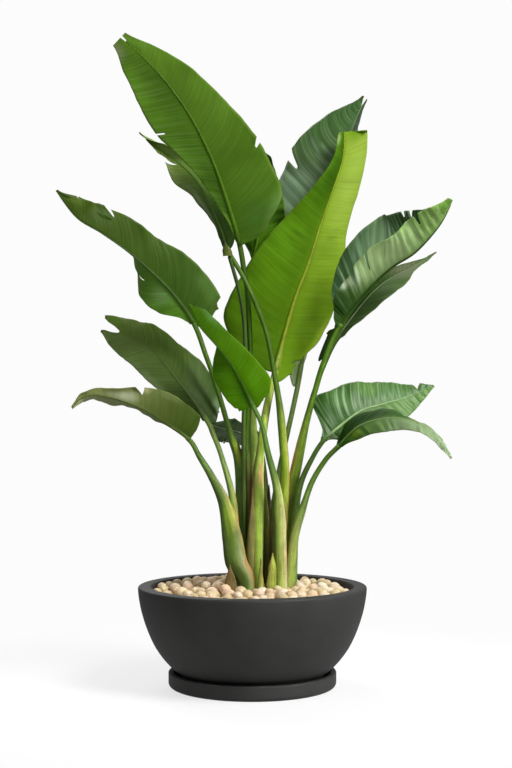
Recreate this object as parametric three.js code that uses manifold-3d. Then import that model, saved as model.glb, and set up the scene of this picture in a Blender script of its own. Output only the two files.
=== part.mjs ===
// A potted bird of paradise plant: a saucer, a bowl planter, soil, a bed of pebbles,
// and a clump of long stalked leaves, each leaf grown as one piece with its stalk.
// Millimetres, +Z up, X to the right and Y away from the front.
// The origin is the middle of the saucer's underside.

import * as THREE from 'three';
import { mergeVertices } from 'three/addons/utils/BufferGeometryUtils.js';
import Module from 'manifold-3d';

const wasm = await Module();
wasm.setup();

// Driving dimensions
const GAP = 0.3;                  // clearance between pieces that rest on each other
const TURNED_SEGMENTS = 48;       // sides of every turned shape
const JOIN_TIDY = 0.06;           // slivers along a join thinner than this are closed

const SAUCER_RADIUS = 167.5;
const SAUCER_HEIGHT = 30;
const SAUCER_WALL = 11;
const SAUCER_FLOOR = 8;

const POT_FOOT_RADIUS = 128;
const POT_HEIGHT = 200;
const DRAIN_RADIUS = 10;
const SOIL_TOP = 170;
const GRAVEL_TOP = 186;           // top of the packed layer that the pebbles stand out of

const PEBBLE_COUNT = 104;
const PEBBLE_RADIUS = 18;
const PEBBLE_SEED = 5;
const PEBBLE_HEIGHT = 203;        // highest point of the pebbles
const PEBBLE_FALL = 9;            // how much lower the bed lies at the back of the pot

const HOLE_BOTTOM = 130;          // bottom of the holes that the stalks stand in
const STRAIGHT_TOP = 208;         // the stalks are upright as far as this height
const SHEATH_DEPTH = 6.5;         // half of a sheath's thickness, front to back
const STALK_SIDES = 8;

const BLADE_THICKNESS = 1.5;
const RIB_RAISE = 2.2;            // how far the midrib stands out of each face at the base
const STALK_END = 0.05;           // how far the round stalk runs into the blade, as a share
const TEAR_HALF_WIDTH = 0.014;    // half of a tear's mouth, as a share of the blade

// Where the half widths of a leaf are given, as shares of the blade's length
const WIDTH_STATIONS = [0.04, 0.15, 0.3, 0.45, 0.6, 0.75, 0.9, 1];
const BLADE_STATIONS = [0, 0.015, 0.04, 0.1, 0.18, 0.28, 0.38, 0.48, 0.58, 0.68, 0.78, 0.87, 0.94, 1];
const BLADE_COLUMNS = 2;          // strips on each side of the midrib

const LEAF_GREEN = 0x4c7028;
const CHARCOAL = 0x323230;

// The bowl's outside from foot to rim and its inside from rim to floor: radius, height
const POT_OUTSIDE = [
  [POT_FOOT_RADIUS, SAUCER_FLOOR + GAP], [149, 30], [160, 38], [180, 60], [197, 86],
  [211, 118], [221, 150], [226, 175], [228, 192], [226.5, POT_HEIGHT - 1], [224, POT_HEIGHT],
];
const POT_INSIDE = [
  [204, POT_HEIGHT], [202, POT_HEIGHT - 2], [201, SOIL_TOP], [198, 118], [184, 86], [168, 60],
  [148, 38], [115, 22],
];

// Leaves. Each has
//   root: where its sheath stands, across and back
//   sheath: height and half width of the flat sheath, from the soil up to the round stalk
//   radius: the round stalk's radius
//   stalk: points of the stalk above the pebbles
//   rib: points of the midrib, from the blade's base to its tip
//   face: the way the blade's shown side looks, at the base and at the tip
//   left, right: half widths at WIDTH_STATIONS, seen from that side with the tip up
//   lift: how far each half turns towards the shown side at base and tip, in degrees
//   wave: height of the margin's waves, how many there are, and where they start
//   tears: side, place along the blade, and depth as a share of the half width
const LEAVES = [
  {
    name: 'leaf_tall_left', root: [-2, 4], radius: 5.3,
    sheath: [[208, 13], [330, 10], [430, 6], [490, 6]],
    stalk: [[-4, 6, 300], [-9, 6, 428], [-13, 5, 490], [-10, 4, 560], [-1, 4, 650], [-3, 2, 715],
      [-11, 0, 787], [-18, -3, 830]],
    rib: [[-25, -5, 878], [-45, -18, 937], [-80, -42, 1038], [-122, -66, 1124], [-177, -90, 1200],
      [-248, -112, 1261]],
    face: [[0.1, -1, 0], [0.15, -1, -0.1]],
    left: [8, 17, 34, 66, 76, 71, 49, 2], right: [98, 112, 108, 89, 69, 48, 26, 2],
    lift: { left: [0, -12], right: [8, 5] },
    wave: [6, 3, 0], tears: [['left', 0.57, 0.34], ['right', 0.31, 0.2]],
  },
  {
    name: 'leaf_curled_left', root: [44, 20], radius: 4.4,
    sheath: [[208, 13], [330, 11], [430, 9], [530, 8], [580, 6]],
    stalk: [[58, 12, 310], [65, 4, 420], [62, 0, 480], [54, -6, 560], [41, -10, 638],
      [29, -12, 700], [13, -13, 746], [-5, -14, 788], [-21, -12, 820], [-36, -6, 846]],
    rib: [[-49, 2, 869], [-63, 12, 911], [-86, 24, 964], [-113, 46, 1015], [-159, 76, 1066],
      [-234, 108, 1129]],
    face: [[0.2, -1, 0.1], [0.1, -1, 0.3]],
    left: [10, 26, 38, 40, 36, 24, 12, 2], right: [16, 40, 60, 64, 56, 42, 24, 2],
    lift: { left: [-60, -60], right: [10, -10] },
    wave: [5, 3, 1], tears: [['left', 0.74, 0.5]],
  },
  {
    name: 'leaf_long_left', root: [-24, 24], radius: 4.95,
    sheath: [[208, 13], [396, 12], [440, 10], [488, 7], [522, 5]],
    stalk: [[-22, 20, 329], [-25, 12, 440], [-45, 0, 505], [-69, -10, 590], [-93, -16, 660]],
    rib: [[-117, -20, 723], [-161, -32, 785], [-230, -52, 851], [-290, -74, 893],
      [-338, -96, 921], [-373, -118, 967]],
    face: [[0, -1, 0.1], [0, -1, 0.2]],
    left: [20, 52, 56, 56, 52, 44, 26, 2], right: [72, 72, 69, 57, 55, 47, 31, 2],
    lift: { left: [5, -150], right: [8, 0] },
    wave: [6, 3.5, 2], tears: [['right', 0.63, 0.3], ['left', 0.16, 0.5]],
  },
  {
    name: 'leaf_dark_left', root: [-36, -12], radius: 4.6,
    sheath: [[208, 13], [300, 12], [383, 7], [460, 5]],
    stalk: [[-37, -14, 320], [-41, -14, 383], [-62, -16, 460], [-78, -16, 502]],
    rib: [[-94, -15, 540], [-141, -4, 598], [-203, 24, 672], [-255, 48, 700], [-305, 72, 744]],
    face: [[0, -1, 0.15], [0, -1, 0.3]],
    left: [5, 20, 38, 47, 46, 41, 30, 2], right: [34, 52, 61, 51, 45, 38, 20, 2],
    lift: { left: [10, 15], right: [-12, -8] },
    wave: [5, 3, 0.5], tears: [['left', 0.9, 0.75], ['right', 0.2, 0.15]],
  },
  {
    name: 'leaf_low_left', root: [-12, -32], radius: 4.5,
    sheath: [[208, 17], [250, 23], [299, 19], [358, 10], [410, 7], [470, 5]],
    stalk: [[-29, -32, 250], [-38, -33, 299], [-58, -36, 366], [-84, -40, 420], [-104, -43, 459]],
    rib: [[-123, -46, 493], [-167, -66, 526], [-217, -92, 555], [-279, -122, 574],
      [-318, -142, 573], [-339, -154, 552]],
    face: [[0, -1, 0.1], [0, -1, 0.1]],
    left: [18, 34, 42, 44, 40, 32, 18, 2], right: [46, 51, 53, 44, 30, 18, 12, 2],
    lift: { left: [-70, -78], right: [5, 5] },
    wave: [4, 3, 2.5], tears: [['right', 0.45, 0.4]],
  },
  {
    name: 'leaf_bright_centre', root: [10, -14], radius: 6.5,
    sheath: [[208, 11], [430, 10], [460, 8], [550, 7]],
    stalk: [[9, -12, 311], [8, -4, 405], [13, 0, 446], [17, 4, 480], [28, 12, 550]],
    rib: [[47, 24, 631], [84, 34, 767], [114, 42, 847], [136, 52, 925], [159, 64, 1009],
      [185, 76, 1085], [237, 88, 1129]],
    face: [[0.05, -1, 0], [0, -1, 0.1]],
    left: [80, 127, 110, 89, 52, 20, 10, 2], right: [33, 52, 71, 67, 65, 62, 50, 4],
    lift: { left: [-5, -5], right: [-8, -10] },
    wave: [5, 3, 0], tears: [['left', 0.27, 0.12]],
  },
  {
    name: 'leaf_small_front', root: [57, -26], radius: 4.4,
    sheath: [[208, 12], [337, 12], [400, 8], [460, 6]],
    stalk: [[56, -27, 261], [54, -29, 337], [50, -33, 398], [34, -43, 460], [20, -51, 518]],
    rib: [[1, -60, 559], [-32, -76, 623], [-64, -92, 667], [-102, -112, 710], [-121, -128, 748]],
    face: [[-0.2, -1, 0.1], [0.1, -1, 0.1]],
    left: [28, 46, 46, 34, 26, 18, 9, 2], right: [32, 51, 46, 38, 31, 28, 22, 2],
    lift: { left: [15, -70], right: [5, 5] },
    wave: [4, 3, 1], tears: [['right', 0.72, 0.2]],
  },
  {
    name: 'leaf_dark_back', root: [16, 54], radius: 5.2,
    sheath: [[208, 12], [330, 9], [430, 6]],
    stalk: [[44, 58, 326], [69, 60, 449], [84, 66, 550]],
    rib: [[98, 74, 629], [125, 90, 800], [149, 100, 905], [174, 112, 1010], [205, 128, 1129],
      [239, 140, 1212]],
    face: [[0, -1, 0], [-0.1, -1, 0.1]],
    left: [12, 38, 75, 104, 121, 108, 50, 2], right: [20, 50, 80, 96, 100, 84, 44, 2],
    lift: { left: [-6, -4], right: [-70, -78] },
    wave: [7, 4, 0], tears: [['left', 0.7, 0.22], ['left', 0.79, 0.14]],
  },
  {
    name: 'leaf_ruffled_back', root: [12, 32], radius: 4.85,
    sheath: [[208, 12], [330, 9], [430, 6]],
    stalk: [[6, 34, 368], [2, 40, 530], [4, 50, 692], [0, 55, 790]],
    rib: [[1, 57, 849], [11, 60, 905], [15, 66, 987], [7, 72, 1058], [-13, 78, 1116]],
    face: [[0.1, -1, 0], [0.1, -1, 0.2]],
    left: [18, 28, 36, 40, 38, 30, 16, 2], right: [38, 56, 58, 54, 46, 36, 20, 2],
    lift: { left: [-20, -10], right: [-6, -10] },
    wave: [8, 4, 1], tears: [['right', 0.2, 0.3]],
  },
  {
    name: 'leaf_split_right', root: [72, 36], radius: 6,
    sheath: [[208, 12], [388, 10], [434, 9], [518, 8], [580, 8]],
    stalk: [[73, 32, 288], [80, 24, 388], [86, 18, 434], [107, 8, 518], [125, 2, 580],
      [153, -4, 640]],
    rib: [[176, -10, 713], [223, -26, 782], [271, -44, 829], [317, -64, 862], [363, -84, 907],
      [386, -98, 953]],
    face: [[-0.65, -0.3, 0.75], [-0.5, -0.3, 0.8]],
    left: [22, 66, 92, 108, 104, 82, 48, 4], right: [18, 46, 60, 66, 64, 56, 36, 4],
    lift: { left: [55, 60], right: [55, 60] },
    wave: [6, 3, 0], tears: [['left', 0.3, 0.3], ['right', 0.85, 0.4]],
  },
  {
    name: 'leaf_slender_right', root: [52, 58], radius: 4.5,
    sheath: [[208, 12], [330, 8], [430, 5]],
    stalk: [[68, 52, 327], [82, 44, 420], [104, 34, 510], [124, 28, 580], [150, 25, 644]],
    rib: [[173, 24, 696], [229, 38, 772], [275, 56, 815], [329, 78, 846], [381, 96, 879]],
    face: [[-0.4, -0.5, 0.75], [-0.4, -0.5, 0.75]],
    left: [16, 32, 38, 42, 40, 32, 18, 2], right: [16, 34, 44, 50, 48, 34, 16, 2],
    lift: { left: [10, 10], right: [10, 10] },
    wave: [4, 3, 0], tears: [['right', 0.62, 0.3]],
  },
  {
    name: 'leaf_broad_right', root: [82, 14], radius: 4.3,
    sheath: [[208, 12], [300, 9], [400, 6]],
    stalk: [[86, 12, 329], [96, 6, 400], [121, 2, 456]],
    rib: [[143, 0, 490], [164, 10, 508], [216, 30, 547], [265, 56, 563], [315, 82, 577],
      [378, 104, 601]],
    face: [[0, -1, 0.3], [0, -1, 0.5]],
    left: [14, 70, 66, 60, 44, 32, 12, 2], right: [10, 40, 52, 54, 50, 34, 14, 2],
    lift: { left: [5, 5], right: [10, 5] },
    wave: [5, 3, 2], tears: [['left', 0.8, 0.5], ['right', 0.7, 0.2]],
  },
  {
    name: 'leaf_drooping_right', root: [73, -6], radius: 4.65,
    sheath: [[208, 10], [267, 10], [348, 8], [376, 6]],
    stalk: [[79, -9, 267], [85, -10, 304], [98, -14, 348], [118, -19, 406], [144, -26, 450]],
    rib: [[167, -34, 475], [210, -60, 516], [269, -92, 532], [316, -120, 522], [351, -140, 492],
      [368, -150, 454]],
    face: [[-0.3, -0.5, 0.8], [0.6, -0.5, 0.5]],
    left: [22, 40, 46, 46, 40, 30, 18, 2], right: [20, 42, 46, 46, 40, 28, 16, 2],
    lift: { left: [5, 5], right: [5, 5] },
    wave: [4, 3, 0], tears: [['left', 0.55, 0.4]],
  },
  {
    name: 'leaf_grey_behind', root: [28, 76], radius: 4.3,
    sheath: [[208, 12], [330, 8], [430, 5]],
    stalk: [[28, 84, 365], [24, 92, 458]],
    rib: [[18, 102, 506], [-16, 140, 532], [-59, 182, 545], [-107, 222, 544], [-137, 256, 516]],
    face: [[0.3, -0.5, 0.8], [-0.4, -0.4, 0.8]],
    left: [20, 40, 48, 50, 46, 36, 20, 2], right: [20, 40, 46, 48, 44, 34, 18, 2],
    lift: { left: [12, 8], right: [12, 8] },
    wave: [4, 3, 0], tears: [['left', 0.5, 0.3]],
  },
];

const SHOOT = { root: [38, -37], radius: 6.5, tip: 267 };
const OLD_SHEATH = { root: [-40, -47], halfWidth: 9, depth: 3.5, top: 238 };

// Small helpers

function solid(vertices, triangles) {
  return new wasm.Manifold(new wasm.Mesh({
    numProp: 3,
    vertProperties: new Float32Array(vertices),
    triVerts: new Uint32Array(triangles),
  }));
}

function solidOf(geometry) {
  const bare = geometry.clone();
  bare.deleteAttribute('normal');
  bare.deleteAttribute('uv');
  const merged = mergeVertices(bare, 1e-4);
  return solid(merged.attributes.position.array, merged.index.array);
}

function geometryOf(manifold) {
  const mesh = manifold.getMesh();
  const geometry = new THREE.BufferGeometry();
  geometry.setAttribute('position', new THREE.BufferAttribute(new Float32Array(mesh.vertProperties), 3));
  geometry.setIndex(new THREE.BufferAttribute(new Uint32Array(mesh.triVerts), 1));
  return geometry;
}

// A seeded draw between 0 and 1
function makeDraw(seed) {
  let state = seed;
  return () => {
    state = (state * 1664525 + 1013904223) % 4294967296;
    return state / 4294967296;
  };
}

// A turned solid round Z; the profile is radius, height, and closes on itself
function turned(profile) {
  const points = profile.map(([radius, height]) => new THREE.Vector2(radius, height));
  points.push(points[0].clone());
  const geometry = new THREE.LatheGeometry(points, TURNED_SEGMENTS);
  geometry.rotateX(Math.PI / 2);
  return geometry;
}

function turnedSolid(profile) {
  const made = solidOf(turned(profile));
  if (made.volume() > 0) {
    return made;
  }
  return solidOf(turned([...profile].reverse()));
}

// An upright bar of elliptic section, drawn with as many sides as a stalk
function uprightBar([x, y], halfWidth, halfDepth, bottom, top) {
  const rings = [bottom, top].map((height) => ({
    centre: new THREE.Vector3(x, y, height),
    across: new THREE.Vector3(halfWidth, 0, 0),
    outward: new THREE.Vector3(0, -halfDepth, 0),
  }));
  return tube(rings);
}

// A closed tube through rings, each an ellipse with its centre and two half axes
function tube(rings) {
  const vertices = [];
  const triangles = [];
  for (const { centre, across, outward } of rings) {
    for (let side = 0; side < STALK_SIDES; side += 1) {
      const angle = 2 * Math.PI * (side + 0.5) / STALK_SIDES;
      const point = centre.clone()
        .addScaledVector(across, Math.cos(angle))
        .addScaledVector(outward, Math.sin(angle));
      vertices.push(point.x, point.y, point.z);
    }
  }
  const corner = (ring, side) => ring * STALK_SIDES + (side % STALK_SIDES);
  for (let ring = 0; ring < rings.length - 1; ring += 1) {
    for (let side = 0; side < STALK_SIDES; side += 1) {
      const [a, b] = [corner(ring, side), corner(ring, side + 1)];
      const [c, d] = [corner(ring + 1, side), corner(ring + 1, side + 1)];
      triangles.push(a, d, b, a, c, d);
    }
  }
  const first = vertices.length / 3;
  for (const ring of [rings[0], rings[rings.length - 1]]) {
    vertices.push(ring.centre.x, ring.centre.y, ring.centre.z);
  }
  for (let side = 0; side < STALK_SIDES; side += 1) {
    triangles.push(first, corner(0, side), corner(0, side + 1));
    triangles.push(first + 1, corner(rings.length - 1, side + 1), corner(rings.length - 1, side));
  }
  return solid(vertices, triangles);
}

// Leaves

// A smooth value through a list of values, at a place counted in list steps
function smoothValue(values, place) {
  const last = values.length - 1;
  const step = Math.min(Math.floor(place), last - 1);
  const f = place - step;
  const at = (index) => values[Math.max(0, Math.min(last, index))];
  const [p0, p1, p2, p3] = [at(step - 1), at(step), at(step + 1), at(step + 2)];
  return 0.5 * (2 * p1 + (p2 - p0) * f + (2 * p0 - 5 * p1 + 4 * p2 - p3) * f * f
    + (3 * p1 - p0 - 3 * p2 + p3) * f * f * f);
}

function smoothPoint(points, place) {
  return new THREE.Vector3(...[0, 1, 2].map((axis) => smoothValue(points.map((p) => p[axis]), place)));
}

function direction(points, place) {
  const ahead = smoothPoint(points, Math.min(points.length - 1, place + 0.02));
  return ahead.sub(smoothPoint(points, Math.max(0, place - 0.02))).normalize();
}

// The whole route of a leaf, from the bottom of its hole to its tip
function routeOf(leaf) {
  const [x, y] = leaf.root;
  const foot = [[x, y, HOLE_BOTTOM + GAP], [x, y, STRAIGHT_TOP]];
  return [...foot, ...leaf.stalk, ...leaf.rib];
}

// Where a share of the blade's length lies on the route, counted in route points
function placeOnBlade(leaf, share) {
  const route = routeOf(leaf);
  const start = route.length - leaf.rib.length;
  const steps = 20 * (leaf.rib.length - 1);
  const lengths = [0];
  for (let step = 1; step <= steps; step += 1) {
    const from = smoothPoint(route, start + (step - 1) / 20);
    lengths.push(lengths[step - 1] + from.distanceTo(smoothPoint(route, start + step / 20)));
  }
  const wanted = share * lengths[steps];
  const index = Math.max(1, lengths.findIndex((length) => length >= wanted - 1e-9));
  const part = (wanted - lengths[index - 1]) / (lengths[index] - lengths[index - 1]);
  return start + (index - 1 + part) / 20;
}

function halfWidth(leaf, side, share) {
  const widths = leaf[side];
  const first = WIDTH_STATIONS[0];
  let width = widths[0] * Math.sqrt(share / first);
  if (share > first) {
    const index = WIDTH_STATIONS.findIndex((station) => station >= share - 1e-9);
    const [from, to] = [WIDTH_STATIONS[index - 1], WIDTH_STATIONS[index]];
    width = smoothValue(widths, index - 1 + (share - from) / (to - from));
  }
  for (const [tornSide, place, depth] of leaf.tears) {
    if (tornSide === side) {
      width *= 1 - depth * Math.max(0, 1 - Math.abs(share - place) / TEAR_HALF_WIDTH);
    }
  }
  return Math.max(width, leaf.radius * 0.4);
}

// A point of the blade: share along the midrib, reach from -1 (left) to 1 (right)
function bladePoint(leaf, share, reach) {
  const route = routeOf(leaf);
  const place = placeOnBlade(leaf, share);
  const along = direction(route, place);
  const [baseFace, tipFace] = leaf.face.map((face) => new THREE.Vector3(...face));
  const across = along.clone().cross(baseFace.lerp(tipFace, share)).normalize();
  const facing = across.clone().cross(along);
  const side = reach < 0 ? 'left' : 'right';
  const [baseLift, tipLift] = leaf.lift[side];
  const lift = THREE.MathUtils.degToRad(THREE.MathUtils.lerp(baseLift, tipLift, share));
  const distance = halfWidth(leaf, side, share) * Math.abs(reach);
  const [waveHeight, waveCount, waveStart] = leaf.wave;
  const wave = waveHeight * reach * reach * Math.sin(2 * Math.PI * waveCount * share + waveStart);
  return smoothPoint(route, place)
    .addScaledVector(across, Math.sign(reach) * distance * Math.cos(lift))
    .addScaledVector(facing, distance * Math.sin(lift) + wave * Math.min(1, share * 8));
}

function bladeStations(leaf) {
  const stations = new Set(BLADE_STATIONS);
  for (const [, place] of leaf.tears) {
    for (const near of BLADE_STATIONS) {
      if (Math.abs(near - place) < 2 * TEAR_HALF_WIDTH) {
        stations.delete(near);
      }
    }
    for (const offset of [-1, 0, 1]) {
      stations.add(place + offset * TEAR_HALF_WIDTH);
    }
  }
  stations.add(0);
  stations.add(1);
  return [...stations].sort((a, b) => a - b);
}

// The blade as a thin sheet, split into triangles alike on both faces
function bladeSolid(leaf) {
  const stations = bladeStations(leaf);
  const width = 2 * BLADE_COLUMNS + 1;
  const points = [];
  for (const share of stations) {
    for (let column = 0; column < width; column += 1) {
      points.push(bladePoint(leaf, share, (column - BLADE_COLUMNS) / BLADE_COLUMNS));
    }
  }
  const cells = [];
  for (let row = 0; row < stations.length - 1; row += 1) {
    for (let column = 0; column < width - 1; column += 1) {
      const a = row * width + column;
      cells.push([a, a + 1, a + width + 1], [a, a + width + 1, a + width]);
    }
  }
  const normals = points.map(() => new THREE.Vector3());
  for (const [a, b, c] of cells) {
    const normal = points[b].clone().sub(points[a]).cross(points[c].clone().sub(points[a])).normalize();
    for (const corner of [a, b, c]) {
      normals[corner].add(normal);
    }
  }
  const vertices = [];
  for (const face of [1, -1]) {
    points.forEach((point, index) => {
      const onRib = index % width === BLADE_COLUMNS;
      const raise = onRib ? RIB_RAISE * (1 - stations[Math.floor(index / width)]) : 0;
      const offset = face * (BLADE_THICKNESS / 2 + raise);
      const moved = point.clone().addScaledVector(normals[index].normalize(), offset);
      vertices.push(moved.x, moved.y, moved.z);
    });
  }
  const count = points.length;
  const triangles = [];
  for (const [a, b, c] of cells) {
    triangles.push(a, b, c, a + count, c + count, b + count);
  }
  const edge = [];
  for (let column = 0; column < width - 1; column += 1) {
    edge.push(column);
  }
  for (let row = 0; row < stations.length - 1; row += 1) {
    edge.push(row * width + width - 1);
  }
  for (let column = width - 1; column > 0; column -= 1) {
    edge.push((stations.length - 1) * width + column);
  }
  for (let row = stations.length - 1; row > 0; row -= 1) {
    edge.push(row * width);
  }
  edge.forEach((from, index) => {
    const to = edge[(index + 1) % edge.length];
    triangles.push(from, from + count, to + count, from, to + count, to);
  });
  return solid(vertices, triangles);
}

// A sheath's half width at a height; above its last entry the stalk is round
function sheathWidth(leaf, height) {
  const index = leaf.sheath.findIndex(([top]) => top > height);
  if (index === 0) {
    return leaf.sheath[0][1];
  }
  if (index < 0) {
    return leaf.radius;
  }
  const [low, high] = [leaf.sheath[index - 1], leaf.sheath[index]];
  return THREE.MathUtils.mapLinear(height, low[0], high[0], low[1], high[1]);
}

// The stalk: a flat sheath at the soil, then a round stalk that ends inside the blade
function stalkSolid(leaf) {
  const route = routeOf(leaf);
  const bladeStart = route.length - leaf.rib.length;
  const end = placeOnBlade(leaf, STALK_END);
  const places = [0];
  for (let place = 1; place <= bladeStart; place += 1) {
    places.push(place);
    if (smoothPoint(route, place + 1).distanceTo(smoothPoint(route, place)) > 75 && place < bladeStart) {
      places.push(place + 0.5);
    }
  }
  places.push(end);
  const rings = places.map((place) => {
    const centre = smoothPoint(route, place);
    const along = place <= 1 ? new THREE.Vector3(0, 0, 1) : direction(route, place);
    const across = along.clone().cross(new THREE.Vector3(0, -1, 0)).normalize();
    const outward = across.clone().cross(along);
    const width = sheathWidth(leaf, centre.z);
    const ending = place === end ? 0.55 : 1;
    return {
      centre,
      across: across.multiplyScalar(width * ending),
      outward: outward.multiplyScalar(Math.min(width, SHEATH_DEPTH) * ending),
    };
  });
  return tube(rings);
}

function leafGeometry(leaf) {
  return geometryOf(stalkSolid(leaf).add(bladeSolid(leaf)).simplify(JOIN_TIDY));
}

// A pointed young shoot, still rolled up
function shootGeometry() {
  const [x, y] = SHOOT.root;
  const shares = [[HOLE_BOTTOM + GAP, 1], [STRAIGHT_TOP, 1], [235, 0.72], [255, 0.4], [SHOOT.tip, 0.08]];
  const rings = shares.map(([height, share]) => ({
    centre: new THREE.Vector3(x, y, height),
    across: new THREE.Vector3(SHOOT.radius * share, 0, 0),
    outward: new THREE.Vector3(0, -SHOOT.radius * share, 0),
  }));
  return geometryOf(tube(rings));
}

// What is left of a leaf that was cut off, a short dry sheath
function oldSheathGeometry() {
  const { root: [x, y], halfWidth: half, depth, top } = OLD_SHEATH;
  const shares = [[HOLE_BOTTOM + GAP, 1, 0], [STRAIGHT_TOP, 1, 0], [225, 0.8, -2], [top, 0.35, -6]];
  const rings = shares.map(([height, share, lean]) => ({
    centre: new THREE.Vector3(x + lean, y, height),
    across: new THREE.Vector3(half * share, 0, 0),
    outward: new THREE.Vector3(0, -depth * Math.sqrt(share), 0),
  }));
  return geometryOf(tube(rings));
}

// Holder

function saucerGeometry() {
  const inner = SAUCER_RADIUS - SAUCER_WALL;
  return geometryOf(turnedSolid([
    [0, 0], [SAUCER_RADIUS - 8, 0], [SAUCER_RADIUS - 3, 3], [SAUCER_RADIUS, 12],
    [SAUCER_RADIUS, SAUCER_HEIGHT - 1.5], [SAUCER_RADIUS - 1.5, SAUCER_HEIGHT],
    [inner + 1.5, SAUCER_HEIGHT], [inner, SAUCER_HEIGHT - 1.5], [inner, SAUCER_FLOOR + 4],
    [inner - 4, SAUCER_FLOOR], [0, SAUCER_FLOOR],
  ]));
}

function potGeometry() {
  const floor = POT_INSIDE[POT_INSIDE.length - 1][1];
  return geometryOf(turnedSolid([
    ...POT_OUTSIDE, ...POT_INSIDE,
    [DRAIN_RADIUS, floor], [DRAIN_RADIUS, SAUCER_FLOOR + GAP],
  ]));
}

// The holes that the stalks stand in, as solids to cut away
function stalkHoles() {
  const standing = LEAVES.map(({ root, sheath }) => [root, sheath[0][1], SHEATH_DEPTH]);
  standing.push([SHOOT.root, SHOOT.radius, SHOOT.radius]);
  standing.push([OLD_SHEATH.root, OLD_SHEATH.halfWidth, OLD_SHEATH.depth]);
  const room = 1.5 * GAP;
  const top = PEBBLE_HEIGHT + 30;
  return standing
    .map(([root, width, depth]) => uprightBar(root, width + room, depth + room, HOLE_BOTTOM, top))
    .reduce((all, hole) => all.add(hole));
}

// Soil fills the bowl up to the gravel, with a plain hole for each stalk
function soilGeometry(holes) {
  const [rim, ...wall] = POT_INSIDE.slice(2);
  const profile = [[0, SOIL_TOP], [rim[0] - GAP, SOIL_TOP]];
  for (const [radius, height] of wall) {
    profile.push([radius - GAP, height + GAP]);
  }
  profile.push([0, wall[wall.length - 1][1] + GAP]);
  return geometryOf(turnedSolid([...profile].reverse()).subtract(holes));
}

// Pebbles, larger than life, standing out of one packed layer that covers the soil
function pebbleGeometry(holes) {
  const layerRadius = 200.5;
  let bed = turnedSolid([
    [0, SOIL_TOP + GAP], [layerRadius, SOIL_TOP + GAP], [layerRadius, GRAVEL_TOP - 6], [0, GRAVEL_TOP],
  ]);
  const draw = makeDraw(PEBBLE_SEED);
  const golden = Math.PI * (3 - Math.sqrt(5));
  for (let index = 0; index < PEBBLE_COUNT; index += 1) {
    const reach = (layerRadius - PEBBLE_RADIUS) * Math.sqrt((index + 0.5) / PEBBLE_COUNT);
    const angle = index * golden;
    const [x, y] = [reach * Math.cos(angle), reach * Math.sin(angle)];
    const top = PEBBLE_HEIGHT - PEBBLE_FALL * THREE.MathUtils.smoothstep(y, -60, 190) - 4 * draw();
    const tall = (top - SOIL_TOP - 1.5) / 2;
    const pebble = new THREE.SphereGeometry(1, 5, 3);
    pebble.rotateX(Math.PI / 2);
    pebble.scale(PEBBLE_RADIUS * (0.9 + 0.2 * draw()), PEBBLE_RADIUS * (0.85 + 0.15 * draw()), tall);
    pebble.rotateZ(Math.PI * draw());
    pebble.translate(x, y, top - tall);
    bed = bed.add(solidOf(pebble));
  }
  const bodies = bed.subtract(holes).decompose();
  const whole = bodies.reduce((best, body) => (body.volume() > best.volume() ? body : best));
  return geometryOf(whole.simplify(JOIN_TIDY));
}

// The whole plant

function add(group, name, geometry, color, roughness) {
  const material = new THREE.MeshStandardMaterial({ color, roughness, metalness: 0 });
  const mesh = new THREE.Mesh(geometry, material);
  mesh.name = name;
  group.add(mesh);
}

function buildPlant() {
  const plant = new THREE.Group();
  const holes = stalkHoles();
  add(plant, 'saucer', saucerGeometry(), CHARCOAL, 0.7);
  add(plant, 'pot', potGeometry(), CHARCOAL, 0.7);
  add(plant, 'soil', soilGeometry(holes), 0x3a2a1e, 1);
  add(plant, 'pebbles', pebbleGeometry(holes), 0xe1cdb0, 0.6);
  for (const leaf of LEAVES) {
    add(plant, leaf.name, leafGeometry(leaf), LEAF_GREEN, 0.4);
  }
  add(plant, 'young_shoot', shootGeometry(), 0x9bb14a, 0.5);
  add(plant, 'old_sheath', oldSheathGeometry(), 0xb08a5c, 0.8);
  return plant;
}

export default buildPlant();
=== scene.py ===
import math
import random

import bmesh
import bpy
from mathutils import Euler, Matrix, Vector, noise


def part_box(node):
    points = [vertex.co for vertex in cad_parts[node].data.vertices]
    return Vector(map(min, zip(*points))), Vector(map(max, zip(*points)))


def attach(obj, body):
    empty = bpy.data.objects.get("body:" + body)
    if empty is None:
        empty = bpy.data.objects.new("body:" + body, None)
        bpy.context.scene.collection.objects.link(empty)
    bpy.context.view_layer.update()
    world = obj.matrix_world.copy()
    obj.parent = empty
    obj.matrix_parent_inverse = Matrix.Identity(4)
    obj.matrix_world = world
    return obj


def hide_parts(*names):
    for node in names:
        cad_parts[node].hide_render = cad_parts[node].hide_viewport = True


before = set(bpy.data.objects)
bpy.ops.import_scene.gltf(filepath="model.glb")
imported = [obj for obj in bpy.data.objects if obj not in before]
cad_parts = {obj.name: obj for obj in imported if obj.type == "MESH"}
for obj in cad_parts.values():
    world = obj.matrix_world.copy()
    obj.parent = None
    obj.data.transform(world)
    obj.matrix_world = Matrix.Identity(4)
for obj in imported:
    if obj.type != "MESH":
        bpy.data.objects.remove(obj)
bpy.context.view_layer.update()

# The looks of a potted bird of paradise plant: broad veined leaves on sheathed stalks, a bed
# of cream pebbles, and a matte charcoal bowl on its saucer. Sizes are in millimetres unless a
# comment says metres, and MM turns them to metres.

MM = 0.001

# In metres, how close two corners lie when they are one: in a turned piece, and in a tube
TURNED_SEAM = 0.00002
TUBE_SEAM = 0.00001

# The photograph's view: a level camera in front of the plant, looking slightly past its axis
CAMERA_BACK = 2600
CAMERA_RIGHT = 7.2
CAMERA_HEIGHT = 517
FRAME_HEIGHT_PX = 768
FOCAL_PX = 1300
HORIZON_PX = 426.6
SENSOR = 36
FARTHEST_SEEN = 100_000

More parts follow.
